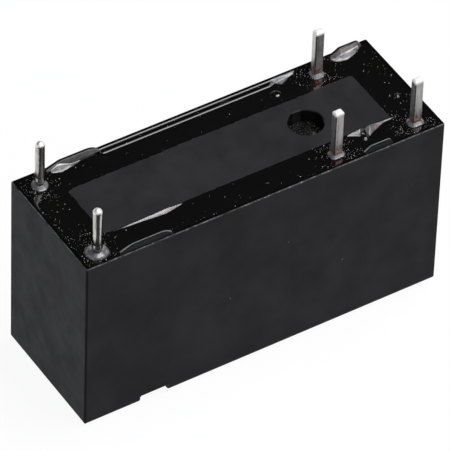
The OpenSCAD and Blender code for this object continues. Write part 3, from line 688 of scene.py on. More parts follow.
def rounded_copy(node, name, radius, material):
    """Copies a CAD node and rounds its edges; the copy stands for the node."""
    mesh = frame["nodes"][node].data.copy()
    shape = bmesh.new()
    shape.from_mesh(mesh)
    bmesh.ops.remove_doubles(shape, verts=shape.verts, dist=0.0005 * MM)
    bmesh.ops.dissolve_limit(
        shape, angle_limit=math.radians(1), verts=shape.verts, edges=shape.edges,
        delimit={"NORMAL"})
    shape.to_mesh(mesh)
    shape.free()
    if "custom_normal" in mesh.attributes:
        mesh.attributes.remove(mesh.attributes["custom_normal"])
    mesh.shade_smooth()
    mesh.set_sharp_from_angle(angle=math.radians(30))
    piece = link_object(name, mesh, material)
    bevel = piece.modifiers.new("rounded edges", "BEVEL")
    bevel.width = radius
    bevel.segments = 3
    bevel.limit_method = "ANGLE"
    bevel.angle_limit = math.radians(35)
    bevel.use_clamp_overlap = False
    even = piece.modifiers.new("even normals", "WEIGHTED_NORMAL")
    even.mode = "FACE_AREA"
    even.weight = 100
    even.keep_sharp = True
    return piece


def seat(piece, body, slot, *nodes):
    """Lets a finished piece ride on its body and stand for CAD nodes."""
    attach(piece, body)
    if nodes:
        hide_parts(*nodes)
    return piece


def long_waves(x, y, seed, lengths):
    """Sum of a few plane waves with seeded directions, from about -1 to 1."""
    random = np.random.default_rng(seed)
    total = np.zeros_like(x)
    for length in lengths:
        turn, phase = random.uniform(0, 2 * math.pi, 2)
        along = x * math.cos(turn) + y * math.sin(turn)
        total += np.sin(2 * math.pi * along / length + phase)
    return total / len(lengths)


def outside_box(x, y, centre, half_x, half_y, corner=0.0):
    """Distance outside a box with rounded corners, negative inside."""
    dx = np.abs(x - centre[0]) - half_x + corner
    dy = np.abs(y - centre[1]) - half_y + corner
    outside = np.hypot(np.clip(dx, 0, None), np.clip(dy, 0, None))
    return outside + np.minimum(np.maximum(dx, dy), 0) - corner


# Island of the base that the resin surrounds
Box = namedtuple("Box", "centre half_x half_y corner")
ISLAND = Box((-0.025 * MM, 0.0), 11.525 * MM, 2.575 * MM, 0.25 * MM)
# A shape that runs along x narrows from its widest place to its start and its end; before and
# after say how, below 1 with a round outline and above 1 with a hollow one
# Overflows and lenses hold how strong their painted sheen is, and the third kind is a patch of
# painted sheen
Overflow = namedtuple("Overflow", "start widest end width slope before after cloudiness")
Lens = namedtuple("Lens", "start widest end width before after cloudiness ridge heights")
Cloud = namedtuple("Cloud", "start widest end width before after")
# Where resin stands up along the island's front edge, and how far its shapes slant
OVERFLOWS = (
    Overflow(-11.2 * MM, -6.6 * MM, -5.2 * MM, 0.27 * MM, 0.42, 1.5, 1.0, 0.9),
    Overflow(7.7 * MM, 8.9 * MM, 9.25 * MM, 0.44 * MM, 0.45, 1.1, 0.8, 0.3),
    Overflow(9.3 * MM, 9.65 * MM, 11.1 * MM, 0.76 * MM, 0.24, 0.5, 1.2, 0.8),
    Overflow(10.4 * MM, 11.0 * MM, 11.7 * MM, 0.09 * MM, 0.4, 0.5, 0.5, 0.6),
)
OVERFLOW_SLANT = 0.65
# Painted pinkish highlights at the overflows' tips and at the end of the back dip: x, y and radius
PINK_HIGHLIGHTS = (
    (-6.2 * MM, -2.7 * MM, 0.7 * MM),
    (10.35 * MM, -2.7 * MM, 0.5 * MM),
    (8.0 * MM, 4.7 * MM, 0.35 * MM),
)
# Bubbles in the resin: x, y, radius and height
BUBBLES = (
    (5.95 * MM, 3.55 * MM, 0.36 * MM, 0.10 * MM),
    (8.80 * MM, -3.25 * MM, 0.30 * MM, 0.12 * MM),
    (12.55 * MM, -0.62 * MM, 0.10 * MM, 0.07 * MM),
    (13.00 * MM, -0.86 * MM, 0.20 * MM, 0.09 * MM),
    (0.60 * MM, -3.90 * MM, 0.16 * MM, 0.05 * MM),
    (10.9 * MM, -4.05 * MM, 0.14 * MM, 0.07 * MM),
)
# Lenses of resin on the back standoffs; each holds how strong its painted sheen is above the
# painted highlight along its ridge, that highlight's depth in the lens, and heights, which are
# places along the wall with the height above the island there, both in millimetres, for a lens
# climb of 0.5 mm
LENS_CLIMB = 0.5
LENSES = (
    Lens(-11.45 * MM, -10.7 * MM, -9.1 * MM, 0.44 * MM, 0.5, 0.8, 1.0, 0.1,
         ((-11.45, 0.10), (-10.9, 0.37), (-10.6, 0.36), (-9.8, 0.05), (-9.1, -0.1))),
    Lens(10.98 * MM, 12.0 * MM, 13.32 * MM, 0.70 * MM, 0.4, 0.5, 0.55, 0.40,
         ((10.98, 0.08), (11.23, 0.10), (11.83, 0.48), (13.13, 0.48), (13.4, 0.30))),
)
# Painted sheen on a patch at the end of the dip along the back wall
BACK_SHEEN = Cloud(6.2 * MM, 6.8 * MM, 8.2 * MM, 0.62 * MM, 1.0, 0.9)
BACK_SHEEN_Y = 4.72 * MM
# Share of the back drop along the back wall: place along the wall in millimetres, and share
BACK_DIP = ((-8.0, 0.0), (-7.3, 1.0), (6.0, 1.0), (6.6, 0.5), (7.5, 0.22), (8.2, 0.0))
# Film of resin over the back wall's lead-in: millimetres from its foot, and tilt in degrees
BACK_FILM = (
    (0.0, 0), (0.04, 14), (0.10, 31), (0.12, 56),
    (0.253, 59.5), (0.273, 31), (0.333, 14), (0.363, 0),
)
FILM_FOOT_Y = 4.36 * MM
# Radius of the collar of resin round each pin
COLLARS = {
    "coil_pin_front": 0.84 * MM, "coil_pin_back": 0.60 * MM,
    "nc_pin": 0.54 * MM, "com_pin": 0.50 * MM, "no_pin": 0.58 * MM,
}
COLLAR_FOOT = 0.3 * MM
FLAT_FOOT = (0.31 * MM, 0.24 * MM, 0.08 * MM)
# Seeds and lengths of the long waves: in the resin's creep at the island, in its surface, and
# in how thick the dust lies
CREEP_SEED, WAVE_SEED, PATCH_SEED = 21, 5, 11
CREEP_LENGTHS = (3.1 * MM, 1.4 * MM, 0.8 * MM, 0.5 * MM)
WAVE_LENGTHS = (5.1 * MM, 3.3 * MM, 2.2 * MM, 1.4 * MM)
PATCH_LENGTHS = (3.1 * MM, 1.7 * MM, 0.9 * MM)
# How far the resin's body reaches into the case's wall and into the island, how thin it may be,
# and how far below the standoffs' tops it ends
WALL_BITE = 0.055 * MM
ISLAND_BITE = 0.4 * MM
THINNEST = 0.03 * MM
STANDOFF_GAP = 0.05 * MM
# Strip along the island's front edge where the cells of the resin's surface are finer
FINE_STRIP = (-3.15 * MM, -2.48 * MM)
# Strength of the painted sheen on a collar and on the patch at the back, the width over which a
# patch fades at its edge, and the depth below the island down to which the sheen is painted
PATCH_SHEEN = 0.95
SOFT_EDGE = 0.06 * MM
SHEEN_DEPTH = 0.4 * MM
# Keeps a division away from zero
TINY = 1e-9


def wall_half(half, z):
    """Half size of the flared opening at a height."""
    return half + FLARE * max(z - LEAD_IN_Z, 0)


def smooth(share):
    """Goes smoothly from 0 to 1 as share does."""
    share = np.clip(share, 0, 1)
    return share * share * (3 - 2 * share)


def narrowing(x, shape):
    """1 at a shape's widest place, falling to 0 at its start and end."""
    before = np.clip((x - shape.start) / (shape.widest - shape.start), 0, 1)
    after = np.clip((shape.end - x) / (shape.end - shape.widest), 0, 1)
    return before ** shape.before * after ** shape.after


def along_front(x, y):
    """Distance in front of the island's front edge, and the slanted place along it."""
    front = -y - ISLAND.half_y
    return front, x + OVERFLOW_SLANT * np.clip(front, 0, None)


def back_film(y):
    """Rise of the film of resin over the back wall's lead-in."""
    places, tilts = np.array(BACK_FILM).T
    fine = np.linspace(0, places[-1], 100)
    slope = np.tan(np.radians(np.interp(fine, places, tilts)))
    rise = np.cumsum(slope) * (fine[1] - fine[0])
    return np.interp((y - FILM_FOOT_Y) / MM, fine, rise) * MM


def lens_shape(x, y, lens, unit):
    """Share of a lens's width, depth below its top edge (0 to 1) and height of that edge."""
    share = narrowing(x, lens)
    places, climbs = np.array(lens.heights).T
    top = np.interp(x, places * MM, climbs * unit)
    edge_y = CAVITY_Y + 0.3 * (ISLAND_Z - LEAD_IN_Z + np.interp(x, places * MM, climbs * MM))
    return share, (edge_y - y) / (lens.width * share + TINY), top


def pin_distance(x, y, name):
    """Distance outside a pin's foot."""
    pin = MOUNTS[name]["pos_m"]
    if name.startswith("coil"):
        return np.hypot(x - pin[0], y - pin[1]) - COLLAR_FOOT
    return outside_box(x, y, pin, *FLAT_FOOT)


def wall_distance(x, y, z):
    """Distance inside the flared walls at a height."""
    return np.minimum(wall_half(CAVITY_X, z) - np.abs(x), wall_half(CAVITY_Y, z) - np.abs(y))


def resin_level(x, y, resin):
    """Height of the poured resin above the island's top, up to the film on the walls."""
    edge = np.clip(outside_box(x, y, *ISLAND), 0, None)
    wall = np.clip(wall_distance(x, y, RIM_Z), 0, None)
    across = edge / (edge + wall + TINY)
    flush = (RIM_Z - ISLAND_Z + 0.012 * MM) * across ** 2 - 4 * resin.sag * across * (1 - across)
    places, shares = np.array(BACK_DIP).T
    share = np.interp(x, places * MM, shares) * (y > 0)
    sunk = smooth((y - ISLAND.half_y) / (FILM_FOOT_Y - ISLAND.half_y))
    deep = back_film(y) - resin.back_drop * sunk
    return flush + share * (deep - flush)


def raise_lenses(height, x, y, resin):
    """The surface, drawn up on the back standoffs."""
    for lens in LENSES:
        share, depth, top = lens_shape(x, y, lens, resin.lens_climb / LENS_CLIMB)
        slope = np.clip(1 - depth, 0, 1)
        climbed = height + (top - height) * slope ** 1.3
        height = np.where(share > 0, np.maximum(height, climbed), height)
    return height


def creep_over_edge(height, x, y, edge):
    """The surface, creeping unevenly up the island's edge and onto the island."""
    creep = 0.55 + 0.5 * long_waves(x, y, CREEP_SEED, CREEP_LENGTHS)
    creep += 0.9 * (x < -11 * MM) + 0.6 * (y > 2.3 * MM)
    over = 0.05 * (edge + 0.14 * MM * creep)
    return np.where(edge < 0, over, height + 0.007 * MM * creep * np.exp(-edge / (0.3 * MM)))


def overflow_height(x, y):
    """Height of the resin that stands up along the island's front edge."""
    height = np.zeros_like(x)
    front, along = along_front(x, y)
    for shape in OVERFLOWS:
        reach = shape.width * narrowing(along, shape)
        bump = shape.slope * reach * (1 - np.clip(front / (reach + TINY), 0, 1) ** 1.5)
        bump = np.where(front < 0, shape.slope * reach + 3 * front, bump)
        height = np.maximum(height, bump * (y < 0))
    return height


def raise_collars(height, x, y, resin):
    """The surface, drawn up round the pins."""
    for number, (name, radius) in enumerate(COLLARS.items()):
        pin = MOUNTS[name]["pos_m"]
        turn = np.arctan2(y - pin[1], x - pin[0])
        uneven = 1 + 0.08 * np.sin(2 * turn + number) + 0.05 * np.sin(5 * turn)
        span = (radius - COLLAR_FOOT) * uneven
        share = np.clip(1 - pin_distance(x, y, name) / span, 0, 1)
        climbed = resin.collar_climb * share ** 1.2
        height = np.where(share > 0, np.maximum(height, climbed), height)
    return height


def raise_bubbles(height, x, y):
    """The surface, swollen over each bubble and drawn down in a ring round it."""
    for bubble_x, bubble_y, radius, rise in BUBBLES:
        distance = np.hypot(x - bubble_x, y - bubble_y) / radius
        height = height + rise * np.sqrt(np.clip(1 - distance ** 2, 0, 1))
        height = height - 0.25 * rise * np.exp(-((distance - 1.1) / 0.15) ** 2)
    return height


def resin_height(x, y, resin):
    """Height of the resin's surface over the points x, y."""
    edge = outside_box(x, y, *ISLAND)
    height = raise_lenses(resin_level(x, y, resin), x, y, resin)
    height = creep_over_edge(height, x, y, edge) + overflow_height(x, y)
    height = raise_collars(height, x, y, resin)
    waves = resin.waviness * long_waves(x, y, WAVE_SEED, WAVE_LENGTHS)
    height = raise_bubbles(height + waves * (edge > 0.2 * MM), x, y)
    return ISLAND_Z + height


def collar_sheen(x, y):
    """Painted sheen on the collars round the pins."""
    pale_tone_and_sheen = np.zeros_like(x)
    for name, radius in COLLARS.items():
        distance = pin_distance(x, y, name) / (radius - COLLAR_FOOT)
        pale_tone_and_sheen = np.maximum(pale_tone_and_sheen, PATCH_SHEEN * np.clip((1.1 - distance) / 0.35, 0, 1))
    return pale_tone_and_sheen


def lens_sheen(x, y):
    """Painted sheen on the lenses on the back standoffs, with a painted highlight along their
    ridges.
    """
    pale_tone_and_sheen = np.zeros_like(x)
    for lens in LENSES:
        share, depth, _ = lens_shape(x, y, lens, MM)
        level = lens.cloudiness
        level = level + (1 - level) * smooth((depth - lens.ridge + 0.1) / 0.15)
        level = level + 0.35 * np.exp(-((depth - lens.ridge) / 0.10) ** 2)
        within = np.clip((1 - depth) * lens.width * share / SOFT_EDGE + 0.5, 0, 1)
        pale_tone_and_sheen = np.maximum(pale_tone_and_sheen, within * (share > 0) * level * (depth > -0.5))
    return pale_tone_and_sheen


def back_patch_sheen(x, y):
    """Painted sheen on the patch at the end of the dip along the back wall."""
    share = narrowing(x, BACK_SHEEN)
    within = BACK_SHEEN.width * share - (BACK_SHEEN_Y - y)
    within = np.clip(within / SOFT_EDGE + 0.5, 0, 1)
    return PATCH_SHEEN * within * (share > 0) * (y < BACK_SHEEN_Y + 0.1 * MM)


def overflow_sheen(x, y):
    """Painted sheen on the resin that stands up along the island's front edge."""
    pale_tone_and_sheen = np.zeros_like(x)
    front, along = along_front(x, y)
    for shape in OVERFLOWS:
        reach = shape.width * narrowing(along, shape)
        inside = np.clip((reach - front) / (0.05 * MM), 0, 1) * (reach > 0.01 * MM)
        inside = inside * np.clip(1 + front / SOFT_EDGE, 0, 1)
        pale_tone_and_sheen = np.maximum(pale_tone_and_sheen, shape.cloudiness * inside * (y < 0))
    return pale_tone_and_sheen


def resin_sheen(x, y, z):
    """Painted sheen on the resin's surface, as strong as the strongest patch at each place."""
    patches = (collar_sheen, lens_sheen, back_patch_sheen, overflow_sheen)
    pale_tone_and_sheen = np.maximum.reduce([patch(x, y) for patch in patches])
    return pale_tone_and_sheen * (z > ISLAND_Z - SHEEN_DEPTH)


def resin_pink_highlight(x, y, z):
    """How strong the painted pinkish highlight on the resin is."""
    tint = np.zeros_like(x)
    for highlight_x, highlight_y, radius in PINK_HIGHLIGHTS:
        tint = np.maximum(tint, np.exp(-(np.hypot(x - highlight_x, y - highlight_y) / radius) ** 2))
    return tint


def closed_body(name, grid_x, grid_y, top_z, bottom_z, kept):
    """Mesh with a top, a bottom and sides over the cells of a grid that are kept."""
    count = grid_x.size
    index = np.arange(count).reshape(grid_x.shape)
    a, b = index[:-1, :-1], index[1:, :-1]
    c, d = index[1:, 1:], index[:-1, 1:]
    faces = [np.column_stack([part[kept] for part in (a, b, c, d)])]
    faces.append(np.column_stack([part[kept] + count for part in (d, c, b, a)]))
    padded = np.pad(kept, 1)
    sides = (
        (padded[:-2, 1:-1], d, a), (padded[2:, 1:-1], b, c),
        (padded[1:-1, :-2], a, b), (padded[1:-1, 2:], c, d),
    )
    for beside, first, second in sides:
        bare = kept & ~beside
        faces.append(np.column_stack(
            [first[bare], first[bare] + count, second[bare] + count, second[bare]]))
    faces = np.concatenate(faces)
    used, numbered = np.unique(faces, return_inverse=True)
    vertices = np.concatenate([
        np.column_stack([part.ravel() for part in (grid_x, grid_y, layer)])
        for layer in (top_z, bottom_z)])[used]
    mesh = bpy.data.meshes.new(name)
    mesh.from_pydata(vertices.tolist(), [], numbered.reshape(faces.shape).tolist())
    return mesh


def resin_body(resin):
    """Closed body of resin with its surface drawn up where it wets walls and pins."""
    half_x = wall_half(CAVITY_X, RIM_Z) + WALL_BITE
    half_y = wall_half(CAVITY_Y, RIM_Z) + WALL_BITE
    xs = np.linspace(-half_x, half_x, int(2 * half_x / resin.cell) + 1)
    # The cells are finer along the island's front edge and on the back wall's film
    stops = (-half_y, *FINE_STRIP, FILM_FOOT_Y - 0.03 * MM, half_y)
    cells = (resin.cell, 0.45 * resin.cell, resin.cell, 0.22 * resin.cell)
    ys = np.concatenate([
        np.arange(low, high - 0.5 * step, step)
        for low, high, step in zip(stops, stops[1:], cells)] + [[half_y]])
    grid_x, grid_y = np.meshgrid(xs, ys, indexing="ij")
    inside = wall_distance(grid_x, grid_y, RIM_Z) + WALL_BITE
    ramp_z = RIM_Z - 0.1 * MM - inside * (LEAD_IN_RISE / LEAD_IN_RUN)
    top_z = np.minimum(resin_height(grid_x, grid_y, resin), STANDOFF_Z - STANDOFF_GAP)
    bottom_z = np.minimum(np.maximum(TROUGH_Z, ramp_z), top_z - THINNEST)
    middle_x = (grid_x[1:, 1:] + grid_x[:-1, :-1]) / 2
    middle_y = (grid_y[1:, 1:] + grid_y[:-1, :-1]) / 2
    kept = outside_box(middle_x, middle_y, *ISLAND) > -ISLAND_BITE
    mesh = closed_body("resin_fill", grid_x, grid_y, top_z, bottom_z, kept)
    mesh.shade_smooth()
    mesh.set_sharp_from_angle(angle=math.radians(60))
    # Strength of the painted sheen and of the painted pinkish highlight at each vertex
    add_weight(mesh, "pale_tone_and_sheen", resin_sheen)
    add_weight(mesh, "pink_highlight", resin_pink_highlight)
    return mesh


def add_weight(mesh, name, function):
    """Stores a number on each vertex, worked out from its place."""
    places = np.array([vertex.co for vertex in mesh.vertices])
    values = function(places[:, 0], places[:, 1], places[:, 2]).astype(np.float32)
    mesh.attributes.new(name, "FLOAT", "POINT").data.foreach_set("value", values)


def run_nodes(piece, tree, values):
    """Runs a geometry tree on a piece and gives back the plain mesh that it makes."""
    modifier = piece.modifiers.new("nodes", "NODES")
    modifier.node_group = tree
    sockets = {item.name: item.identifier for item in tree.interface.items_tree
               if item.in_out == "INPUT"}
    for name, value in values.items():
        modifier[sockets[name]] = value
    evaluated = piece.evaluated_get(bpy.context.evaluated_depsgraph_get())
    mesh = bpy.data.meshes.new_from_object(evaluated)
    piece.modifiers.remove(modifier)
    if not mesh.polygons:
        raise RuntimeError(f"{tree.name} made no faces")
    return mesh


def new_tree(name, inputs):
    """A geometry tree with a mesh in, a mesh out and named inputs for its sizes."""
    tree = bpy.data.node_groups.new(name, "GeometryNodeTree")
    tree.interface.new_socket("Geometry", in_out="OUTPUT", socket_type="NodeSocketGeometry")
    tree.interface.new_socket("Geometry", in_out="INPUT", socket_type="NodeSocketGeometry")
    for label, kind in inputs.items():
        tree.interface.new_socket(label, in_out="INPUT", socket_type=kind)
    graph = Graph(tree)
    source = graph.node("NodeGroupInput", output=None)
    sockets = {socket.name: Link(graph, socket) for socket in source.outputs if socket.name}
    return tree, graph, sockets


def finish_tree(graph, instances, finish):
    """Makes the instances real, gives them their finish and passes them out."""
    realized = graph.node("GeometryNodeRealizeInstances", {}, {"Geometry": instances})
    dressed = graph.node(
        "GeometryNodeSetMaterial", {}, {"Geometry": realized, "Material": finish})
    graph.node("NodeGroupOutput", {}, {0: dressed}, output=None)


def dust_tree():
    """Scatters small rough specks where the attribute dust is high."""
    tree, graph, given = new_tree("dust specks", {
        "Density": "NodeSocketFloat", "Gap": "NodeSocketFloat", "Speck Size": "NodeSocketFloat",
        "Seed": "NodeSocketInt", "Finish": "NodeSocketMaterial"})
    weight = graph.node(
        "GeometryNodeInputNamedAttribute", {"data_type": "FLOAT"}, {"Name": "dust"})
    points = graph.node(
        "GeometryNodeDistributePointsOnFaces", {"distribute_method": "POISSON"},
        {"Mesh": given["Geometry"], "Distance Min": given["Gap"], "Density Max": given["Density"],
         "Density Factor": weight, "Seed": given["Seed"]})
    speck = graph.node(
        "GeometryNodeMeshIcoSphere", {}, {"Radius": given["Speck Size"], "Subdivisions": 1})
    size = graph.node(
        "FunctionNodeRandomValue", {"data_type": "FLOAT"},
        {RANDOM_LOW: 0.0, RANDOM_HIGH: 1.0, "Seed": given["Seed"]}, output=RANDOM_RESULT)
    skewed = 0.42 + 0.75 * graph.node("ShaderNodeMath", {"operation": "POWER"}, {0: size, 1: 3.0})
    squash = graph.node(
        "ShaderNodeCombineXYZ", {}, {"X": skewed, "Y": skewed * 0.85, "Z": skewed * 0.35})
    turn = graph.node(
        "FunctionNodeRandomValue", {"data_type": "FLOAT_VECTOR"},
        {0: (0, 0, 0), 1: (0.6, 0.6, 2 * math.pi), "Seed": given["Seed"]})
    scattered = graph.node(
        "GeometryNodeInstanceOnPoints", {},
        {"Points": points, "Instance": speck, "Rotation": turn, "Scale": squash})
    finish_tree(graph, scattered, given["Finish"])
    return tree


def turns_tree():
    """Lays rings of wire side by side along a line of points."""
    tree, graph, given = new_tree("wire turns", {
        "Count": "NodeSocketInt", "Pitch": "NodeSocketFloat", "Start": "NodeSocketVector",
        "Turn Radius": "NodeSocketFloat", "Wire Radius": "NodeSocketFloat",
        "Finish": "NodeSocketMaterial"})
    step = graph.node("ShaderNodeCombineXYZ", {}, {"X": given["Pitch"]})
    line = graph.node(
        "GeometryNodeMeshLine", {"mode": "OFFSET"},
        {"Count": given["Count"], "Start Location": given["Start"], "Offset": step})
    ring = graph.node(
        "GeometryNodeCurvePrimitiveCircle", {"mode": "RADIUS"},
        {"Resolution": 64, "Radius": given["Turn Radius"]})
    wire = graph.node(
        "GeometryNodeCurvePrimitiveCircle", {"mode": "RADIUS"},
        {"Resolution": 6, "Radius": given["Wire Radius"]})
    tube = graph.node("GeometryNodeCurveToMesh", {}, {"Curve": ring, "Profile Curve": wire})
    rings = graph.node(
        "GeometryNodeInstanceOnPoints", {},
        {"Points": line, "Instance": tube, "Rotation": (0, math.pi / 2, 0)})
    finish_tree(graph, rings, given["Finish"])
    return tree


class RELAY_OT_studio(bpy.types.Operator):
    """Makes the camera, the floor, the lights and the world"""

    bl_idname = "relay.studio"
    bl_label = "Studio"

    def execute(self, context):
        studio = context.scene.relay.studio
        self.make_camera(context)
        self.make_floor(studio)
        self.make_world(context, studio)
        self.make_softbox("overhead softbox", *OVERHEAD, studio.key_strength)
        self.make_softbox("front softbox", *FRONT, studio.front_strength)
        end = self.make_softbox(
            "coil end softbox", *COIL_END, studio.end_strength, colour=COOL_WHITE)
        end.visible_glossy = False
        context.scene.view_settings.view_transform = "Standard"
        return {"FINISHED"}

    def make_camera(self, context):
        """Long lens that looks down on the relay's front and coil end."""
        camera = link_object("camera", bpy.data.cameras.new("camera"))
        turn = Matrix((CAMERA_RIGHT, -CAMERA_DOWN, -CAMERA_FORWARD)).transposed()
        camera.matrix_world = Matrix.Translation(CAMERA_PLACE) @ turn.to_4x4()
        camera.data.sensor_width = CAMERA_SENSOR
        camera.data.lens = CAMERA_LENS
        camera.data.clip_start = 10 * MM
        camera.data.clip_end = 20
        context.scene.camera = camera

    def make_floor(self, studio):
        """Floor that shows white, keeps the shadow, and is clear from below and in mirrors."""
        mesh = bpy.data.meshes.new("floor")
        corners = [(x * FLOOR_HALF, y * FLOOR_HALF, 0)
                   for x, y in ((-1, -1), (1, -1), (1, 1), (-1, 1))]
        mesh.from_pydata(corners, [], [(0, 1, 2, 3)])
        material = bpy.data.materials.new("white floor")
        graph = bare_graph(material)
        seen = self.seen_rays(graph)
        paint = graph.node("ShaderNodeBsdfDiffuse", {}, {"Color": rgba(FLOOR_COLOUR)})
        white = graph.node("ShaderNodeEmission", {}, {"Color": rgba(WHITE), "Strength": 1.0})
        mixed = graph.node(
            "ShaderNodeMixShader", {}, {0: seen * studio.whiteness, 1: paint, 2: white})
        below = graph.node("ShaderNodeNewGeometry", output="Backfacing")
        mirrored = graph.node("ShaderNodeLightPath", output="Is Glossy Ray")
        clear = graph.node("ShaderNodeBsdfTransparent")
        sheet = graph.node(
            "ShaderNodeMixShader", {}, {0: below.most(mirrored), 1: mixed, 2: clear})
        graph.node("ShaderNodeOutputMaterial", {}, {"Surface": sheet}, output=None)
        floor = link_object("floor", mesh, material)

    def seen_rays(self, graph):
        """1 for rays that show the background: straight, mirrored or through glass."""
        camera, glossy, through = (
            graph.node("ShaderNodeLightPath", output=name)
            for name in ("Is Camera Ray", "Is Glossy Ray", "Is Transmission Ray"))
        return camera.most(glossy).most(through)

    def make_world(self, context, studio):
        """Even light; mirrors show a white horizon, a dim ceiling, a dark side and a window."""
        world = bpy.data.worlds.new("room")
        graph = bare_graph(world)
        camera = graph.node("ShaderNodeLightPath", output="Is Camera Ray")
        direction = graph.node("ShaderNodeTexCoord", output="Generated")
        backdrop = graph.axis("Z", direction).ramp(0.17, 0.33, 1.0, 0.03)
        backdrop = backdrop * graph.towards(direction, DARK_SIDE).ramp(0.42, 0.60, 1.0, 0.06)
        window = graph.towards(direction, WINDOW).ramp(0.66, 0.9)
        backdrop = backdrop + window * studio.window_level
        seen = self.seen_rays(graph)
        strength = camera + (1 - camera) * (seen * backdrop + (1 - seen) * studio.world_level)
        background = graph.node(
            "ShaderNodeBackground", {}, {"Color": rgba(WHITE), "Strength": strength})
        graph.node("ShaderNodeOutputWorld", {}, {"Surface": background}, output=None)
        context.scene.world = world

    def make_softbox(self, name, direction, size, strength, colour=WHITE):
        """Square area light that faces the relay; strength is its radiance."""
        light = bpy.data.lights.new(name, "AREA")
        light.shape = "SQUARE"
        light.size = size
        light.color = colour
        light.energy = strength * math.pi * size * size
        lamp = link_object(name, light)
        away = Vector(direction).normalized()
        lamp.location = SOFTBOX_AIM + away * SOFTBOX_DISTANCE
        lamp.rotation_mode = "QUATERNION"
        lamp.rotation_quaternion = away.to_track_quat("Z", "Y")
        lamp.visible_camera = False
        return lamp


class RELAY_OT_case(bpy.types.Operator):
    """Rounds the cover's edges and gives the cover and the base their finish"""

    bl_idname = "relay.case"
    bl_label = "Case and base"

    def execute(self, context):
        relay = context.scene.relay
        case = relay.case
        cover_finish = moulded_plastic(
            "cover plastic", case.case_colour, relay, grain_per_mm=7, roughness=0.55, level=0.06,
            wet_and_shade_mask=wet_rim, painted_edge_light=edge_light_and_wear, reflection=standoff_reflection)
        base_finish = moulded_plastic(
            "base plastic", case.island_colour, relay, grain_per_mm=11, roughness=0.45, level=0.2,
            wet_and_shade_mask=vent_shade)
        cover = rounded_copy("cover", "moulded_cover", case.edge_radius, cover_finish)
        seat(cover, "root", "case_plastic", "cover")
        dress(base_finish, "base")
        return {"FINISHED"}


class RELAY_OT_resin(bpy.types.Operator):
    """Casts the sealing resin, with its edges, collars, overflows and bubbles"""

    bl_idname = "relay.resin"
    bl_label = "Resin"

    def execute(self, context):
        resin = context.scene.relay.resin
        finish = cast_resin("cast resin", resin.colour, 0.0)
        fill = link_object("resin_fill", resin_body(resin), finish)
        seat(fill, "root", "resin", "edge_seal")
        dress(cast_resin("dusty resin", resin.colour, 1.0), "vent_seal")
        return {"FINISHED"}


class RELAY_OT_pins(bpy.types.Operator):
    """Tins the pins down to a bare stretch above the resin"""

    bl_idname = "relay.pins"
    bl_label = "Pins"

    def execute(self, context):
        pins = context.scene.relay.pins
        finish = tinned_copper(
            "tinned coil pin", pins, COIL_PIN_TOP_Z, gloss=0.14, metallic=1.0,
            corner=no_mask, fleck_reach=0.3 * MM, tarnish=0.3)
        dress(finish, "coil_terminal_front", "coil_terminal_back")
        finish = tinned_copper(
            "tinned contact pin", pins, FLAT_PIN_TOP_Z, gloss=0.34, metallic=0.85,
            corner=pin_corner_shade, fleck_reach=0.85 * MM, tarnish=1.0)
        copies = {
            "nc_terminal": "nc_pin_and_blade", "com_terminal": "com_pin_and_plate",
            "no_terminal": "no_pin_and_blade"}
        for node, name in copies.items():
            piece = rounded_copy(node, name, pins.edge_radius, finish)
            seat(piece, "root", "tinned_pin", node)
        return {"FINISHED"}


class RELAY_OT_coil(bpy.types.Operator):
    """Winds the coil and finishes the bobbin and the magnetic circuit"""

    bl_idname = "relay.coil"
    bl_label = "Coil and magnet"

    def execute(self, context):
        coil = context.scene.relay.coil
        wire = enamelled_wire(coil.wire_colour)
        low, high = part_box("winding")
        radius = coil.wire_diameter / 2
        carrier = link_object("carrier", bpy.data.meshes.new("carrier"))
        mesh = run_nodes(carrier, turns_tree(), {
            "Count": int((high.x - low.x) / coil.wire_diameter),
            "Pitch": coil.wire_diameter,
            "Start": (low.x + radius, 0.0, (low.z + high.z) / 2),
            "Turn Radius": (high.z - low.z) / 2 - radius,
            "Wire Radius": radius,
            "Finish": wire,
        })
        bpy.data.objects.remove(carrier)
        turns = link_object("wire_turns", mesh)
        seat(turns, "root", "copper_wire")
        iron = rolled_metal("plated iron", IRON_COLOUR, 0.36, (1, 0.08, 1))
        dress(wire, "winding", "coil_lead_front", "coil_lead_back")
        dress(film_tape(TAPE_COLOUR), "coil_tape")
        dress(pale_moulding("bobbin plastic", BOBBIN_COLOUR, 5), "bobbin")
        dress(pale_moulding("card plastic", CARD_COLOUR, 6), "card")
        dress(iron, "core", "yoke", "armature")
        return {"FINISHED"}


class RELAY_OT_contacts(bpy.types.Operator):
    """Finishes the springs and the contacts"""

    bl_idname = "relay.contacts"
    bl_label = "Contacts"

    def execute(self, context):
        bronze = rolled_metal("spring bronze", BRONZE_COLOUR, 0.28, (1, 0.06, 1))
        silver = rolled_metal("contact silver", SILVER_COLOUR, 0.22, (1, 1, 1), 0.002 * MM)
        dress(bronze, "hinge_spring", "com_spring")
        dress(silver, "nc_contact", "no_contact", "moving_contact")
        return {"FINISHED"}


def dust_near_features(x, y, z):
    """Dust lies thickest round the pins, at the ends and along the walls."""
    weight = np.full_like(x, 0.02)
    for pin in COIL_PINS + FLAT_PINS:
        distance = np.hypot(x - pin.x, y - pin.y)
        weight += np.exp(-((distance - 0.9 * MM) / (0.75 * MM)) ** 2)
    inward = np.minimum(HALF_LENGTH - np.abs(x), 3 * MM) / (3 * MM)
    weight += 0.13 * (1 - inward) + 0.25 * (1 - inward) * (x < 0)
    wall = np.minimum(HALF_WIDTH - 0.4 * MM - np.abs(y), HALF_LENGTH - 0.4 * MM - np.abs(x))
    weight += 0.2 * np.exp(-np.clip(wall, 0, None) / (0.25 * MM))
    patches = 0.6 + 0.8 * long_waves(x, y, PATCH_SEED, PATCH_LENGTHS)
    return np.clip(weight * np.clip(patches, 0.1, None), 0, 1.4) * (z > TROUGH_Z + 0.3 * MM)


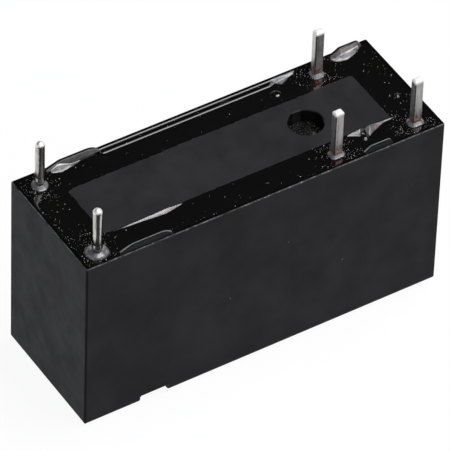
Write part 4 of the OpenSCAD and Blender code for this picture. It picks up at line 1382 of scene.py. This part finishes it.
class RELAY_OT_dust(bpy.types.Operator):
    """Scatters dust on the resin"""

    bl_idname = "relay.dust"
    bl_label = "Dust"

    def execute(self, context):
        dust = context.scene.relay.dust
        resin = bpy.data.objects.get("resin_fill")
        if resin is None:
            raise RuntimeError("the resin comes before its dust")
        mesh = resin.data.copy()
        add_weight(mesh, "dust", dust_near_features)
        ground = link_object("dust_ground", mesh)
        specks = run_nodes(ground, dust_tree(), {
            "Density": dust.density / (MM * MM),
            "Gap": dust.gap,
            "Speck Size": dust.speck_size,
            "Seed": dust.seed,
            "Finish": pale_dust(),
        })
        bpy.data.objects.remove(ground)
        piece = link_object("resin_dust", specks)
        seat(piece, "root", "resin")
        return {"FINISHED"}


class RELAY_PT_panel(bpy.types.Panel):
    """Lists the relay's pieces in the sidebar"""

    bl_idname = "RELAY_PT_panel"
    bl_label = "Relay"
    bl_space_type = "VIEW_3D"
    bl_region_type = "UI"
    bl_category = "Relay"

    def draw(self, context):
        settings = context.scene.relay
        for group in ("case", "resin", "pins", "dust", "coil", "studio"):
            box = self.layout.box()
            part = getattr(settings, group)
            box.label(text=group.capitalize())
            for name in part.__annotations__:
                box.prop(part, name)
        for operator in OPERATORS:
            self.layout.operator(operator.bl_idname)


GROUPS = (
    RelayCase, RelayResin, RelayPins, RelayDust, RelayCoil, RelayStudio, RelaySettings,
)
OPERATORS = (
    RELAY_OT_studio, RELAY_OT_case, RELAY_OT_resin, RELAY_OT_pins,
    RELAY_OT_coil, RELAY_OT_contacts, RELAY_OT_dust,
)


def register():
    """Adds the relay's settings, operators and panel to Blender."""
    for kind in (*GROUPS, *OPERATORS, RELAY_PT_panel):
        bpy.utils.register_class(kind)
    bpy.types.Scene.relay = PointerProperty(type=RelaySettings)


def unregister():
    """Takes them out again."""
    del bpy.types.Scene.relay
    for kind in reversed((*GROUPS, *OPERATORS, RELAY_PT_panel)):
        bpy.utils.unregister_class(kind)


def main():
    """Builds the scene."""
    register()
    bpy.ops.relay.studio()
    bpy.ops.relay.case()
    bpy.ops.relay.resin()
    bpy.ops.relay.pins()
    bpy.ops.relay.coil()
    bpy.ops.relay.contacts()
    bpy.ops.relay.dust()


if __name__ == "__main__":
    main()
